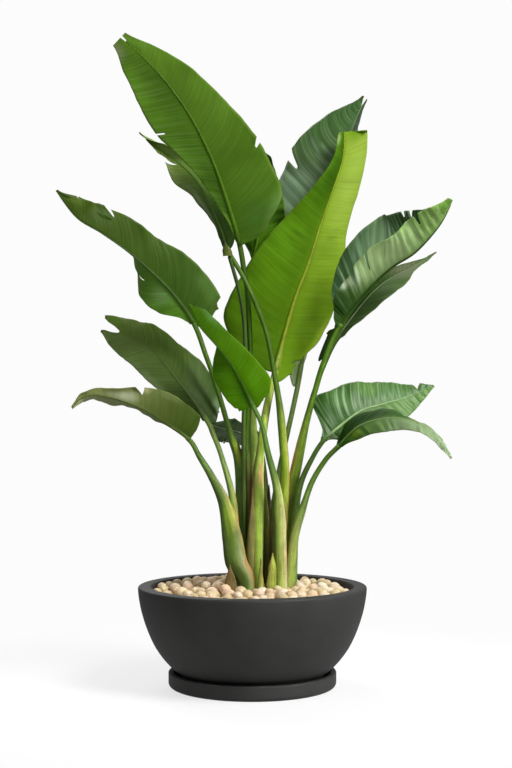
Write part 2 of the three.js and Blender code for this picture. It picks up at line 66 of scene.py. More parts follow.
# The studio: how bright the backdrop looks, and how much light the sky and the floor give
PAPER_WHITE = 0.975
SKY = 0.31
FLOOR_GLOW = 0.22
NEAR_FLOOR = 0.685
FLOOR_GREY = 0.3
# In metres: the floor's half width, and where its paint starts and ends to turn into paper
FLOOR_REACH = 30
PAINT_ENDS, PAPER_STARTS = 0.3, 1.0

# Soft lights: place and aim, width and height in metres, power in watts, spread in degrees
LIGHTS = {
    "key": ((2.0, -1.5, 2.9), (0, 0, 0.5), (1.4, 1.4), 108, 180),
    "fill": ((-2.4, -2.4, 2.2), (0, 0, 0.7), (1.6, 1.6), 10, 180),
    "back": ((-0.9, 1.9, 2.6), (0, 0, 0.8), (1.5, 1.5), 42, 180),
    "side": ((2.1, -1.3, 1.0), (0.1, 0, 0.2), (0.9, 0.7), 1.2, 28),
}

# The holder; profiles are radius and height
SAUCER_RADIUS = 167.5
SAUCER_HEIGHT = 30
SAUCER_WALL = 11
SAUCER_FLOOR = 8
SAUCER_TOE = 9
SAUCER_LIP = 2.5
SAUCER_INNER_LIP = 2
SAUCER_COVE = 4
SEAT_GAP = 0.3
POT_HEIGHT = 200
POT_FOOT = 128
POT_FLOOR = 22
DRAIN_RADIUS = 10
RIM_OUTSIDE, RIM_OUTER_EDGE = 228, 4
RIM_INSIDE, RIM_INNER_EDGE = 202, 3
POT_OUTSIDE = [(131, 12), (149, 30), (160, 38), (180, 60), (197, 86), (211, 118), (221, 150),
               (226, 175), (RIM_OUTSIDE, 192)]
POT_INSIDE = [(RIM_INSIDE, 196), (201, 170), (198, 118), (184, 86), (168, 60), (148, 38),
              (115, POT_FLOOR)]
TURNED_STEPS = 144

# The pebbles, and the low heap that they lie in round the stalks. Tilt and turn are in
# radians. A pebble past PAINTED_SHADE_FROM towards the back left is drawn darker, as painted
# shade, and SHEATH_ROOM is the share of a pebble's radius that it keeps clear of a sheath
BED_RADIUS = 200
BED_EDGE_HEIGHT = 199
HEAP_HEIGHT = 15
HEAP_CENTRE = (-20, 40)
HEAP_TOP_RADIUS, HEAP_FOOT_RADIUS = 60, 190
HEAP_ROUGHNESS = 3
PEBBLE_SEED = 5
PEBBLE_RADII = (9.8, 13.2)
PEBBLE_DROPS = 3400
PEBBLE_TRIES = 8
PEBBLE_CELL = 28
PEBBLE_FLATNESS = (0.86, 1.0)
PEBBLE_STRETCH = (0.98, 1.1)
PEBBLE_TILT = 0.5
PEBBLE_TURN = 6.3
PEBBLE_TONES = (0.26, 1)
PAINTED_SHADE_FROM = (90, 260)
PAINTED_SHADE_TONE = 0.35
SHEATH_ROOM = 0.75

# The stalks; STALK_INTO_BLADE counts in steps of the leaf's route
HOLE_FOOT = 131
STRAIGHT_TOP = 208
SHEATH_DEPTH = 6.5
SHEATH_FADE = 60
STALK_SIDES = 24
STALK_ROWS = 120
STALK_INTO_BLADE = 0.12
MARGIN_TURN = 0.3
BLOTCH = 40
RAGGED_EVERY = 14
# The midrib; where it ends is a share of the blade, and the other shares are of its radius
RIB_ROWS = 60
RIB_END = 0.97
RIB_BASE_SHARE = 0.85
RIB_TIP_RADIUS = 0.8
RIB_STANDS_OUT = 0.35
# The husks
HUSK_COLUMNS, HUSK_ROWS = 16, 40
HUSK_BEND = 1.4
HUSK_THICKNESS = 1.0

# The blades; LEAST_HALF is the narrowest half width, as a share of the stalk's radius
LEAST_HALF = 0.3
BLADE_THICKNESS = 1.1
BLADE_ROWS = 150
BLADE_COLUMNS = 32
CLEFT_STEP = 16
TEAR_REACH = 14
TEAR_LIP = 0.6
RIPPLE_LENGTH, RIPPLE_HEIGHT = 30, 1.5
FOLD_LENGTH, FOLD_HEIGHT = 9, 0.55
UNEVEN_EDGE = 0.012
WIDTH_STATIONS = (0.04, 0.15, 0.3, 0.45, 0.6, 0.75, 0.9, 1)
LEAF_MARGIN = 0x8C9C4C
DRY_TIP = 0x5E4426
PAINTED_SHEEN_TINT = 0x9DB488
STALK_SPECK = 0x6E5A30
SECOND_STALK_GREENS = (0x5A7830, 0x3C5A1C)
SHOOT_GREENS = (0x9CA848, 0xB4BC50, 0x9A8A3C)

# The halves of a leaf. Where a leaf's entry is a pair, the left half comes first
LEFT, RIGHT = 0, 1

# Leaves, with the route, widths, waves and tears of the solids they stand for. For the looks:
#   face: share along the blade, and the way the shown side looks there
#   widths: of each half at WIDTH_STATIONS along the blade
#   lift: degrees that each half stands up from flat at the midrib, from base to tip
#   curl: degrees that each half turns on its way to the margin, from base to tip
#   lobes: how far each half hangs down beside the stalk, and how wide it is there
#   rake: how far the right half rises towards its margin at the tip
#   reach: how far the right half runs on past the midrib's end
#   wave: height, count along the blade and start of the margin's waves
#   pleat: how high and how many folds run out along the side veins
#   cleft: where the tip splits along the midrib, and how wide it stands open at the end
#   tears: side, place along the blade, depth as a share of the half width, gap in mm
#   shown: the side of the leaf that looks along face, under unless upper is given
#   skin: the finish of the upper side, satin unless another is given
#   slant: how steeply the side veins lean towards the tip
#   green: colours of each half, at the base and at the tip; the leaf's own greens with painted
#   light and shade, a half lighter where it faces the light and where light shines through it
#   tints_and_light: side, share, reach, how far the tint goes along and across, colour,
#   strength; partly the leaf's own tones, partly painted shade, painted highlights and painted
#   light shining through the blade
#   streaks: side, first and last place, count, colour and strength of marks along the veins;
#   the dark ones are veins, the pale ones painted sheen
#   sheen: how pale the streaks between the veins are, left and right: a painted sheen
#   dry: how brown the tip is
#   stalk_green: colours of the sheath and of the stalk above it
#   margin: side and colour of the sheath's dry margin, and its width as a share of a turn
#   sheath_tone_and_shade: colours of the sheath at its left, middle and right; its own hues,
#   with painted shade on the darker side and painted light on the lighter side
#   sheath_patches_and_light: height, reach, place from -1 left to 1 right, width, colour,
#   strength of soft patches; some are the sheath's own tan marks and yellow streaks, the rest
#   painted light and painted shade
LEAVES = [dict(
    name="leaf_tall_left", root=(-2, 4), radius=5.3,
    sheath=[(208, 13), (330, 11), (430, 7), (490, 6)],
    stalk=[(-4, 6, 300), (-9, 6, 428), (-12, 5, 490), (-9, 4, 560), (-4, 4, 650), (-6, 2, 715),
           (-10, 0, 787), (-17, -3, 830)],
    rib=[(-25, -5, 878), (-41, -18, 937), (-77, -42, 1038), (-121, -66, 1122), (-177, -90, 1195),
         (-250, -112, 1264)], face=[(0, 0.1, -1, 0), (1, 0.15, -1, -0.1)],
    widths=([8, 17, 34, 58, 75, 69, 46, 24], [60, 109, 106, 90, 71, 51, 28, 10]),
    lift=((2, 0, -4, -8, -12, -4), (10, 8, 6, 6, 5)), curl=((6, 10, 14, 10), (-16, -12, -10, -8)),
    cleft=(0.975, 0.16), wave=(4, 3, 0), tears=[(LEFT, 0.515, 0.2, 0.3), (RIGHT, 0.245, 0.15, 4.5)],
    slant=0.62, green=((0x486E18, 0x5A8420), (0x4C7218, 0x5E8624)),
    tints_and_light=[(RIGHT, 0.11, 0.95, 0.1, 0.3, 0x6E9446, 0.75),
           (LEFT, 0.78, 0.25, 0.22, 0.6, 0x486C1C, 0.75),
           (LEFT, 0.35, 0.3, 0.4, 0.6, 0x3F6414, 0.6), (LEFT, 0.97, 0.8, 0.06, 0.6, 0x76805A, 0.7),
           (RIGHT, 0.1, 0.5, 0.12, 0.5, 0x44702A, 0.5)], sheen=(0.12, 0.04), dry=0.2,
    rib_green=0x64901E, stalk_green=(0x746A3C, 0x446A10), margin=(LEFT, 0x8A5A34, 0.1),
    sheath_tone_and_shade=(0x5A4A28, 0x6A6434, 0x7A743C),
), dict(
    name="leaf_curled_left", root=(44, 20), radius=4.8,
    sheath=[(208, 13), (330, 11), (430, 9), (530, 8), (580, 6)],
    stalk=[(58, 12, 310), (65, 4, 420), (62, 0, 480), (54, -6, 560), (41, -10, 638), (29, -12, 700),
           (13, -13, 746), (-5, -14, 788), (-21, -12, 820), (-36, -6, 846)],
    rib=[(-49, 2, 869), (-60, 12, 911), (-84, 24, 966), (-113, 46, 1017), (-159, 76, 1066),
         (-234, 108, 1128)], face=[(0, 0.2, -1, 0.1), (1, 0.1, -1, 0.3)],
    widths=([10, 16, 22, 29, 37, 17, 10, 7], [16, 40, 60, 64, 50, 24, 12, 5]),
    lift=((-50, -45, -40, -24, -14, 6, 30), (10, 5, 0, 20, 70)),
    curl=((-10, -20, -20, -10, 40, 90), (10, 10, 20, 80, 160)), wave=(3, 3, 1),
    tears=[(LEFT, 0.66, 0.8, 9)], shown="upper", slant=1.5,
    green=((0x385A18, 0x7A9440), (0x4C7228, 0x7E9C48)),
    tints_and_light=[(LEFT, 0.62, 0.8, 0.25, 0.5, 0x7C9250, 0.7),
           (LEFT, 0.36, 0.7, 0.24, 0.3, 0x8A9C74, 0.75),
           (LEFT, 0.08, 0.6, 0.12, 0.8, 0x2A440E, 0.8)], sheen=(0.1, 0.1), dry=0.9,
    rib_green=0x587832, stalk_green=(0xC0D66C, 0x587E24), margin=(RIGHT, 0xC4B458, 0.1),
    sheath_tone_and_shade=(0x55701C, 0x98B834, 0xC0CA62),
), dict(
    name="leaf_long_left", root=(-24, 24), radius=4.95,
    sheath=[(208, 13), (396, 12), (440, 11.5), (488, 8.5), (522, 5.5)],
    stalk=[(-22, 20, 329), (-25, 12, 440), (-45, 0, 505), (-69, -10, 590), (-93, -16, 660)],
    rib=[(-117, -20, 723), (-161, -32, 784), (-230, -52, 849), (-290, -74, 891), (-338, -96, 919),
         (-375, -118, 967)], face=[(0, 0, -1, 0.1), (1, 0, -1, 0.2)],
    widths=([14, 46, 56, 44, 40, 34, 24, 3], [74, 76, 71, 58, 57, 50, 32, 4]),
    lift=((2, -6, -56, -150, -160, -160), (14, 10, 6, 2, 0)),
    curl=((-8, -24, -30, -30), (-20, -14, -10, -20)), lobes=((0, 8), (16, 58)), wave=(4, 3.5, 2),
    tears=[(RIGHT, 0.575, 0.26, 6), (LEFT, 0.28, 0.5, 4), (RIGHT, 0.83, 0.1, 1)], slant=1.05,
    green=((0x5E8E26, 0x405C20), (0x44661C, 0x48601A)),
    tints_and_light=[(LEFT, 0.06, 0.9, 0.18, 0.4, 0x62A026, 0.8), (LEFT, 0.22, 0.4, 0.1, 0.5, 0x7C9A68, 0.4),
           (RIGHT, 0.1, 0.8, 0.12, 0.3, 0x62883C, 0.5), (RIGHT, 0.45, 0.6, 0.3, 0.5, 0x48641A, 0.7),
           (RIGHT, 0.9, 0.7, 0.1, 0.5, 0x5E7A1E, 0.6)], sheen=(0.08, 0.04), dry=0.5,
    rib_green=0x4C6A24, stalk_green=(0x788C4C, 0x567C24), margin=(RIGHT, 0x9A7A3C, 0.1),
    sheath_tone_and_shade=(0x5E7A34, 0x628440, 0x6A6A30),
    sheath_patches_and_light=[(466, 44, 0.2, 0.8, 0xAEC63C, 0.9), (440, 44, 0.8, 0.4, 0xA88440, 0.9),
           (300, 70, 0.4, 0.8, 0x5A4426, 0.7)],
), dict(
    name="leaf_dark_left", root=(-36, -12), radius=5.2,
    sheath=[(208, 13), (300, 12), (383, 7), (460, 5)],
    stalk=[(-37, -14, 320), (-41, -14, 383), (-62, -16, 460), (-78, -16, 502)],
    rib=[(-92, -15, 532), (-141, -4, 598), (-203, 24, 672), (-255, 50, 702), (-304, 70, 724)],
    face=[(0, 0, -1, 0.15), (1, 0, -1, 0.3)],
    widths=([7, 22, 39, 49, 51, 47, 34, 16], [58, 72, 71, 60, 53, 46, 38, 24]),
    lift=((10, 8, 4, 6, 15), (-30, -14, -8, -8)), reach=15, curl=((-14, -10, -16), (-14, -18, -10)),
    lobes=((4, 8), (16, 40)), cleft=(0.88, 0.7), wave=(3, 3, 0.5), shown="upper", slant=1.1,
    green=((0x364E18, 0x627A38), (0x385216, 0x566E28)),
    tints_and_light=[(RIGHT, 0.03, 0.8, 0.1, 0.5, 0x7A9468, 0.8), (LEFT, 0.12, 0.3, 0.2, 0.6, 0x2A4010, 0.7),
           (LEFT, 0.45, 0.95, 0.4, 0.35, 0x6C8050, 0.7),
           (RIGHT, 0.95, 0.6, 0.1, 0.6, 0x567A22, 0.6)], sheen=(0.1, 0.04), dry=0.5,
    rib_green=0x5A6E34, stalk_green=(0xA8C46C, 0x84A250), margin=(RIGHT, 0xBA8048, 0.06),
    sheath_tone_and_shade=(0x5C7038, 0x9EB856, 0xB8C46C),
), dict(
    name="leaf_low_left", root=(-12, -32), radius=4.5,
    sheath=[(208, 17), (250, 22), (299, 20), (366, 12.5), (410, 8), (470, 5)],
    stalk=[(-32, -32, 250), (-40, -33, 299), (-55, -36, 366), (-81, -40, 420), (-104, -43, 458)],
    rib=[(-124, -46, 491), (-168, -66, 523), (-217, -92, 553), (-279, -122, 574), (-318, -142, 573),
         (-339, -154, 552)], face=[(0, 0, -1, 0.1), (1, 0, -1, 0.1)],
    widths=([18, 32, 38, 37, 32, 26, 13, 3], [52, 55, 54, 43, 27, 15, 11, 4]),
    lift=((-78, -80, -76, -66, -62), (8, 6, 5, 10, 30)),
    curl=((-10, -10, -10), (-24, -20, -10, 30, 60)), wave=(3, 3, 2.5),
    tears=[(RIGHT, 0.43, 0.36, 10)], slant=0.5, pleat=(0.4, 12),
    green=((0x70824E, 0x9EA878), (0x42561A, 0x869054)),
    tints_and_light=[(RIGHT, 0.3, 0.9, 0.16, 0.2, 0x7C8A56, 0.5), (RIGHT, 0.6, 0.4, 0.16, 0.5, 0xC0C6A4, 0.8),
           (RIGHT, 0.45, 0.9, 0.05, 0.3, 0xA8A478, 0.6)], sheen=(0.02, 0.02), dry=0.6,
    rib_green=0x4E6416, stalk_green=(0x7C9C58, 0x5E7E2A), margin=(RIGHT, 0xB08A4C, 0.04),
    sheath_tone_and_shade=(0x48582A, 0x648436, 0xA6AA6A),
    sheath_patches_and_light=[(345, 50, 0.55, 0.6, 0xC4CC5C, 0.8), (330, 60, -0.1, 0.5, 0x86A82C, 0.7),
           (245, 60, 0.6, 0.35, 0xB0B88C, 0.6), (226, 40, 0.95, 0.22, 0xB8854A, 0.9),
           (224, 60, -0.4, 1.1, 0x465220, 0.85)],
), dict(
    name="leaf_bright_centre", root=(10, -14), radius=6.5,
    sheath=[(208, 10), (300, 11), (380, 13), (430, 11), (460, 8.5), (550, 8)],
    stalk=[(11, -12, 311), (11, -4, 405), (14, 0, 446), (18, 4, 480), (28, 12, 550)],
    rib=[(47, 24, 631), (84, 34, 767), (114, 42, 847), (138, 52, 925), (166, 64, 1005),
         (186, 76, 1068), (191, 94, 1127), (192, 118, 1098)],
    face=[(0, 0.05, -1, 0), (0.86, 0, -1, 0.1), (0.94, 0, -0.6, 0.8), (1, 0, 0.6, 0.8)],
    widths=([98, 132, 117, 97, 58, 28, 14, 8], [40, 74, 87, 72, 58, 51, 50, 46]),
    lift=((-5, -2, 3, 3, 0, 0), (-6, -8, -10, -6)),
    curl=((-12, -6, -2, 10, 20), (-14, -14, -16, -6)), lobes=((6, 40), (22, 36)), rake=17,
    wave=(3, 3, 0), tears=[(RIGHT, 0.04, 0.3, 1)], slant=0.4,
    green=((0x5A8410, 0x4E7C04), (0x729C14, 0x90AE30)),
    tints_and_light=[(LEFT, 0.74, 0.3, 0.2, 0.9, 0x345C00, 0.9), (RIGHT, 0.74, 0.6, 0.3, 0.7, 0x9EBC46, 0.85),
           (RIGHT, 0.2, 0.45, 0.14, 0.4, 0x5E8A1C, 0.3),
           (RIGHT, 0.16, 0.98, 0.12, 0.22, 0xA8CC34, 0.9),
           (LEFT, 0.4, 0.6, 0.3, 0.5, 0x669C0C, 0.5), (LEFT, 0.9, 0.9, 0.04, 0.6, 0xA8C474, 0.8),
           (RIGHT, 0.92, 0.5, 0.05, 0.7, 0x6E9A0C, 0.9)],
    streaks=[(LEFT, 0.06, 0.75, 44, 0x3C6606, 0.35), (RIGHT, 0.12, 0.6, 26, 0x5C8410, 0.3)],
    sheen=(0.03, 0.06), dry=0.1, rib_green=0xA2B830, stalk_green=(0xB4C24E, 0xBCD45C),
    margin=(LEFT, 0x8A6A40, 0.05), sheath_tone_and_shade=(0x665E32, 0xA2C44A, 0xBCD868),
    sheath_patches_and_light=[(424, 42, 0.45, 0.75, 0xD0A872, 0.95), (390, 60, -0.8, 0.5, 0x7A6A40, 0.9),
           (480, 30, 0.2, 0.9, 0x86A436, 0.9)],
), dict(
    name="leaf_small_front", root=(57, -26), radius=4.4,
    sheath=[(208, 12), (337, 12), (400, 8), (460, 6)],
    stalk=[(56, -27, 261), (54, -29, 337), (48, -33, 398), (32, -43, 460), (19, -51, 518)],
    rib=[(1, -60, 559), (-32, -76, 623), (-64, -92, 667), (-102, -112, 710), (-121, -128, 748)],
    face=[(0, -0.2, -1, 0.1), (1, 0.1, -1, 0.1)],
    widths=([35, 43, 45, 40, 26, 18, 9, 2], [42, 55, 47, 40, 35, 33, 26, 4]),
    lift=((10, 6, -20, -95, -110, -110), (14, 10, 6, 5)), curl=((-10, -20, -20), (-24, -18, -10)),
    lobes=((2, 30), (8, 24)), wave=(2, 3, 1), slant=0.5,
    green=((0x4C8004, 0x427206), (0x568A04, 0x467406)),
    tints_and_light=[(LEFT, 0.14, 0.2, 0.2, 0.3, 0x356404, 0.8), (RIGHT, 0.2, 0.4, 0.3, 0.4, 0x60A40A, 0.5),
           (RIGHT, 0.8, 0.9, 0.2, 0.4, 0x66984A, 0.6)], sheen=(0.05, 0.05), dry=0.1,
    rib_green=0x3E6E08, stalk_green=(0x7A9A50, 0x66903A), margin=(RIGHT, 0xD4C88E, 0.1),
    sheath_tone_and_shade=(0x526A10, 0xAAC060, 0xDCD490),
    sheath_patches_and_light=[(250, 50, 0.6, 0.5, 0xCBB070, 0.8), (230, 40, -0.3, 0.5, 0x8A9438, 0.6)],
), dict(
    name="leaf_dark_back", root=(16, 54), radius=5.2, sheath=[(208, 12), (330, 9), (430, 6)],
    stalk=[(40, 58, 326), (58, 60, 440), (82, 66, 550)],
    rib=[(98, 74, 629), (125, 90, 800), (149, 100, 905), (174, 112, 1010), (205, 128, 1129),
         (239, 140, 1212)], face=[(0, 0, -1, 0), (1, -0.1, -1, 0.1)],
    widths=([26, 44, 75, 110, 131, 117, 66, 8], [20, 50, 80, 96, 100, 90, 56, 16]),
    lift=((0, -4, -6, -4, 4, 6), (-70, -72, -74, -76, -78)),
    curl=((-14, -16, -24, -30), (-10, -10, -10)), lobes=((32, 28), (6, 10)), cleft=(0.97, 0.5),
    wave=(4, 4, 0), tears=[(LEFT, 0.6, 0.28, 9)], pleat=(1.2, 18), shown="upper", skin="glossy",
    slant=0.85, green=((0xC8DAAA, 0x3A6226), (0x9CB45C, 0x2C4A2A)),
    tints_and_light=[(LEFT, 0.43, 0.6, 0.2, 0.7, 0x90B68A, 0.85), (LEFT, 0.62, 0.7, 0.12, 0.6, 0x86A886, 0.7),
           (LEFT, 0.97, 0.4, 0.1, 0.6, 0x2F5A24, 0.6)],
    streaks=[(LEFT, 0.25, 0.75, 20, 0xB0D0AC, 0.6), (LEFT, 0.5, 0.9, 8, 0x2C4E22, 0.4)],
    sheen=(0.3, 0.2), dry=0.3, rib_green=0x86A45C, stalk_green=(0x587A36, 0x86A458),
    margin=(LEFT, 0x8A6A40, 0.05),
), dict(
    name="leaf_ruffled_back", root=(12, 32), radius=4.85,
    sheath=[(208, 12), (330, 10), (430, 9.5), (510, 8.5), (570, 6)],
    stalk=[(6, 34, 368), (3, 38, 470), (0, 42, 560), (2, 50, 692), (0, 55, 790)],
    rib=[(1, 57, 849), (11, 60, 905), (15, 66, 987), (7, 72, 1054), (-13, 78, 1106)],
    face=[(0, 0.1, -1, 0), (1, 0.1, -1, 0.2)],
    widths=([5, 26, 36, 40, 38, 30, 16, 2], [44, 62, 60, 52, 43, 38, 24, 4]),
    lift=((-20, -15, -10), (-6, -8, -10)), curl=((0, 0), (30, 20, 0)), lobes=((0, 4), (14, 26)),
    wave=(9, 5, 1), tears=[(RIGHT, 0.16, 0.3, 4)], slant=0.5,
    green=((0x406C04, 0x2A4420), (0x4C7C04, 0x1E3814)),
    tints_and_light=[(RIGHT, 0.12, 0.9, 0.1, 0.3, 0x88BC1E, 0.6)], sheen=(0.1, 0.1), dry=0.2,
    rib_green=0x5E8A16, stalk_green=(0x9ABA54, 0x3A621E), margin=(RIGHT, 0x8A6A40, 0.03),
    sheath_patches_and_light=[(490, 130, 0.3, 1.2, 0xC4E470, 1)],
), dict(
    name="leaf_split_right", root=(72, 36), radius=6,
    sheath=[(208, 12), (388, 11), (434, 11), (480, 9.5), (518, 7.5), (580, 5.5)],
    stalk=[(73, 32, 288), (80, 24, 388), (88, 18, 434), (106, 8, 518), (123, 2, 580),
           (141, -4, 640)],
    rib=[(172, -10, 713), (223, -26, 782), (271, -44, 828), (319, -64, 858), (363, -84, 907),
         (386, -98, 953)], face=[(0, -0.65, -0.3, 0.75), (1, -0.5, -0.3, 0.8)],
    widths=([20, 58, 84, 95, 96, 78, 36, 8], [30, 60, 62, 66, 64, 62, 48, 14]),
    lift=((50, 54, 58, 60, 64), (50, 55, 60, 60, 40)), curl=((10, 20, 20, 20), (14, 20, 20, 50)),
    wave=(4, 3, 0),
    tears=[(LEFT, 0.66, 0.2, 2), (LEFT, 0.71, 0.24, 2), (RIGHT, 0.22, 0.7, 6),
           (RIGHT, 0.34, 0.5, 2), (RIGHT, 0.74, 0.4, 5)], pleat=(1.4, 19), shown="upper",
    skin="glossy", slant=0.5, green=((0x3C6C30, 0x3A6438), (0x3A6020, 0xA4D272)),
    tints_and_light=[(RIGHT, 0.1, 0.7, 0.13, 0.8, 0x1C4400, 0.95),
           (RIGHT, 0.3, 0.75, 0.07, 0.4, 0xE4F4D0, 0.8),
           (RIGHT, 0.42, 0.3, 0.05, 0.5, 0x4A7A2C, 0.5),
           (RIGHT, 0.23, 0.97, 0.05, 0.3, 0xE4F4D0, 0.9),
           (RIGHT, 0.72, 0.5, 0.03, 0.6, 0x5E8A40, 0.7),
           (LEFT, 0.75, 0.6, 0.14, 0.7, 0x1C3C12, 0.8),
           (LEFT, 0.45, 0.6, 0.22, 0.6, 0x96C08E, 0.85),
           (LEFT, 0.12, 0.6, 0.14, 0.6, 0x4E7C5A, 0.6),
           (RIGHT, 0.5, 0.6, 0.34, 0.9, 0xDCFEB0, 0.95),
           (RIGHT, 0.96, 0.6, 0.12, 0.9, 0x66922A, 0.9)],
    streaks=[(LEFT, 0.15, 0.62, 26, 0xB8D4B0, 0.7), (LEFT, 0.1, 0.7, 14, 0x24461C, 0.6),
             (RIGHT, 0.08, 0.92, 18, 0x4A7432, 0.55), (RIGHT, 0.3, 0.9, 20, 0xDCFAB4, 0.7)],
    sheen=(0.6, 0.25), dry=0.05, rib_green=0x4E7828, stalk_green=(0x9FAE4C, 0x5E8A24),
    margin=(LEFT, 0xC09A48, 0.06), sheath_tone_and_shade=(0xBCC650, 0x7C9A32, 0x6C8E34),
    sheath_patches_and_light=[(450, 34, -0.75, 0.5, 0xC4A050, 0.9)],
), dict(
    name="leaf_slender_right", root=(52, 58), radius=4.5, sheath=[(208, 12), (330, 8), (430, 5)],
    stalk=[(68, 52, 327), (82, 44, 420), (103, 34, 510), (122, 28, 580), (146, 25, 644)],
    rib=[(171, 24, 694), (229, 38, 772), (275, 56, 815), (329, 78, 846), (381, 96, 879)],
    face=[(0, -0.4, -0.5, 0.75), (1, -0.4, -0.5, 0.75)],
    widths=([20, 34, 42, 41, 33, 20, 7, 2], [16, 30, 47, 62, 52, 24, 9, 2]),
    lift=((10, 10, 10), (10, 10, 10)), curl=((10, 10), (-10, -20)), lobes=((58, 31), (6, 8)),
    wave=(2, 3, 0), shown="upper", skin="under", slant=0.9,
    green=((0x264210, 0x3C5420), (0x466230, 0x56703C)),
    tints_and_light=[(LEFT, 0.3, 0.5, 0.2, 0.5, 0x2A4A16, 0.6), (LEFT, 0.75, 0.5, 0.2, 0.9, 0x787A62, 0.6),
           (RIGHT, 0.75, 0.4, 0.22, 0.9, 0x747660, 0.7)], sheen=(0.15, 0.25), dry=0.3,
    rib_green=0xA4B88C, stalk_green=(0x5E7E38, 0x4A6E24), margin=(LEFT, 0x9A7A50, 0.05),
), dict(
    name="leaf_broad_right", root=(82, 14), radius=4.8, sheath=[(208, 8), (300, 8), (400, 6)],
    stalk=[(86, 12, 329), (96, 6, 400), (121, 2, 456)],
    rib=[(143, 0, 490), (164, 10, 508), (216, 30, 547), (265, 56, 563), (315, 82, 577),
         (378, 104, 601)], face=[(0, 0, -1, 0.3), (1, 0, -1, 0.5)],
    widths=([14, 80, 72, 66, 52, 40, 20, 4], [10, 40, 52, 54, 50, 36, 16, 2]),
    lift=((8, 6, 4, 2), (10, 8, 6, 5)), curl=((-30, -20, -20), (-20, -20)), lobes=((8, 8), (2, 6)),
    wave=(2, 3, 2), tears=[(LEFT, 0.86, 0.6, 6)], pleat=(1.2, 17), shown="upper", skin="glossy",
    slant=0.45, green=((0x2A560E, 0x487430), (0x284E00, 0x5C8638)),
    tints_and_light=[(LEFT, 0.3, 0.6, 0.1, 0.6, 0x64904C, 0.7), (LEFT, 0.5, 0.7, 0.14, 0.5, 0x66903C, 0.6),
           (LEFT, 0.92, 0.6, 0.1, 0.6, 0x34601E, 0.7), (LEFT, 0.06, 0.9, 0.08, 0.4, 0x7CA464, 0.5)],
    streaks=[(LEFT, 0.03, 0.8, 26, 0x94B48C, 0.35), (LEFT, 0.03, 0.9, 28, 0x2A4E1A, 0.4)],
    sheen=(0.5, 0.25), dry=0.3, rib_green=0x9CBC7C, stalk_green=(0x86A850, 0x4E6E2C),
    margin=(LEFT, 0xC89A5C, 0.05),
), dict(
    name="leaf_drooping_right", root=(73, -6), radius=5.1,
    sheath=[(208, 10), (267, 10), (348, 8), (376, 6)],
    stalk=[(79, -9, 267), (85, -10, 304), (98, -14, 348), (118, -19, 406), (144, -26, 450)],
    rib=[(167, -34, 475), (210, -60, 518), (269, -92, 534), (316, -120, 523), (356, -140, 493),
         (376, -150, 457)], face=[(0, -0.3, -0.5, 0.8), (1, 0.6, -0.5, 0.5)],
    widths=([22, 46, 47, 33, 11, 7, 6, 2], [12, 27, 34, 37, 26, 16, 12, 3]),
    lift=((5, 5, 5), (5, 0, -10, -10)), curl=((-10, -20, -20), (-20, -30, -30)),
    lobes=((4, 8), (8, 8)), wave=(2, 3, 0), tears=[(LEFT, 0.5, 0.4, 3)], shown="upper",
    skin="under", slant=0.7, green=((0x1E4202, 0x8EA27A), (0x366008, 0x8CA278)),
    tints_and_light=[(LEFT, 0.52, 0.5, 0.22, 0.9, 0x2C5414, 0.85),
           (LEFT, 0.28, 0.5, 0.25, 0.7, 0x1A3E02, 0.9), (RIGHT, 0.2, 0.5, 0.08, 0.5, 0x7C9A28, 0.6),
           (RIGHT, 0.36, 0.6, 0.14, 0.6, 0x62863C, 0.6)], sheen=(0.02, 0.04), dry=0.3,
    rib_green=0x86AC58, pleat=(1.2, 12), stalk_green=(0xA3BC6C, 0x5C8428),
    margin=(LEFT, 0xC0904C, 0.06), sheath_tone_and_shade=(0xA8B058, 0xAEBE60, 0x9EB24C),
), dict(
    name="leaf_grey_behind", root=(28, 76), radius=4.3, sheath=[(208, 12), (330, 8), (430, 5)],
    stalk=[(28, 84, 355), (24, 92, 430)],
    rib=[(16, 102, 470), (0, 130, 490), (-30, 170, 504), (-62, 206, 512), (-90, 236, 520)],
    face=[(0, 0.3, -0.8, 0.6), (1, -0.2, -0.8, 0.6)],
    widths=([16, 32, 38, 40, 38, 34, 24, 6], [16, 26, 28, 28, 30, 32, 26, 8]),
    lift=((12, 10, 8), (12, 10, 8)), curl=((-20, -20), (-20, -20)), wave=(3, 3, 0),
    tears=[(LEFT, 0.5, 0.2, 1)], slant=0.5, green=((0x243C06, 0x2C440E), (0x2A420C, 0x304A12)),
    sheen=(0.1, 0.1), dry=0.3, rib_green=0x6E8A54, stalk_green=(0x5E7E38, 0x4A6E24),
    margin=(LEFT, 0x9A7A50, 0.05),
)]


# Small helpers

def linear(hex_colour):
    """An sRGB hex colour as linear red, green, blue and alpha."""
    parts = [(hex_colour >> shift & 255) / 255 for shift in (16, 8, 0)]
    return [((c + 0.055) / 1.055) ** 2.4 if c > 0.04045 else c / 12.92 for c in parts] + [1]


def all_linear(hex_colours):
    return [linear(colour) for colour in hex_colours]


def mix(start, end, share):
    return [a + (b - a) * share for a, b in zip(start, end)]


def shaded(colour, shade):
    """A colour made darker or lighter, and left solid."""
    return [c * shade for c in colour[:3]] + [1]


def side_of(reach):
    return LEFT if reach < 0 else RIGHT


def smooth_step(low, high, value):
    share = min(1, max(0, (value - low) / (high - low)))
    return share * share * (3 - 2 * share)


def smooth_value(values, place):
    """A smooth value through a list of values, at a place counted in list steps."""
    last = len(values) - 1
    step = min(int(place), last - 1)
    f = place - step
    p0, p1, p2, p3 = (values[max(0, min(last, step + k))] for k in (-1, 0, 1, 2))
    return 0.5 * (2 * p1 + (p2 - p0) * f + (2 * p0 - 5 * p1 + 4 * p2 - p3) * f * f
                  + (3 * p1 - p0 - 3 * p2 + p3) * f ** 3)


def along_list(values, share):
    return smooth_value(values, share * (len(values) - 1))


def smooth_point(points, place):
    """A point of the smooth route through a list of points."""
    return Vector([smooth_value([p[axis] for p in points], place) for axis in range(3)])


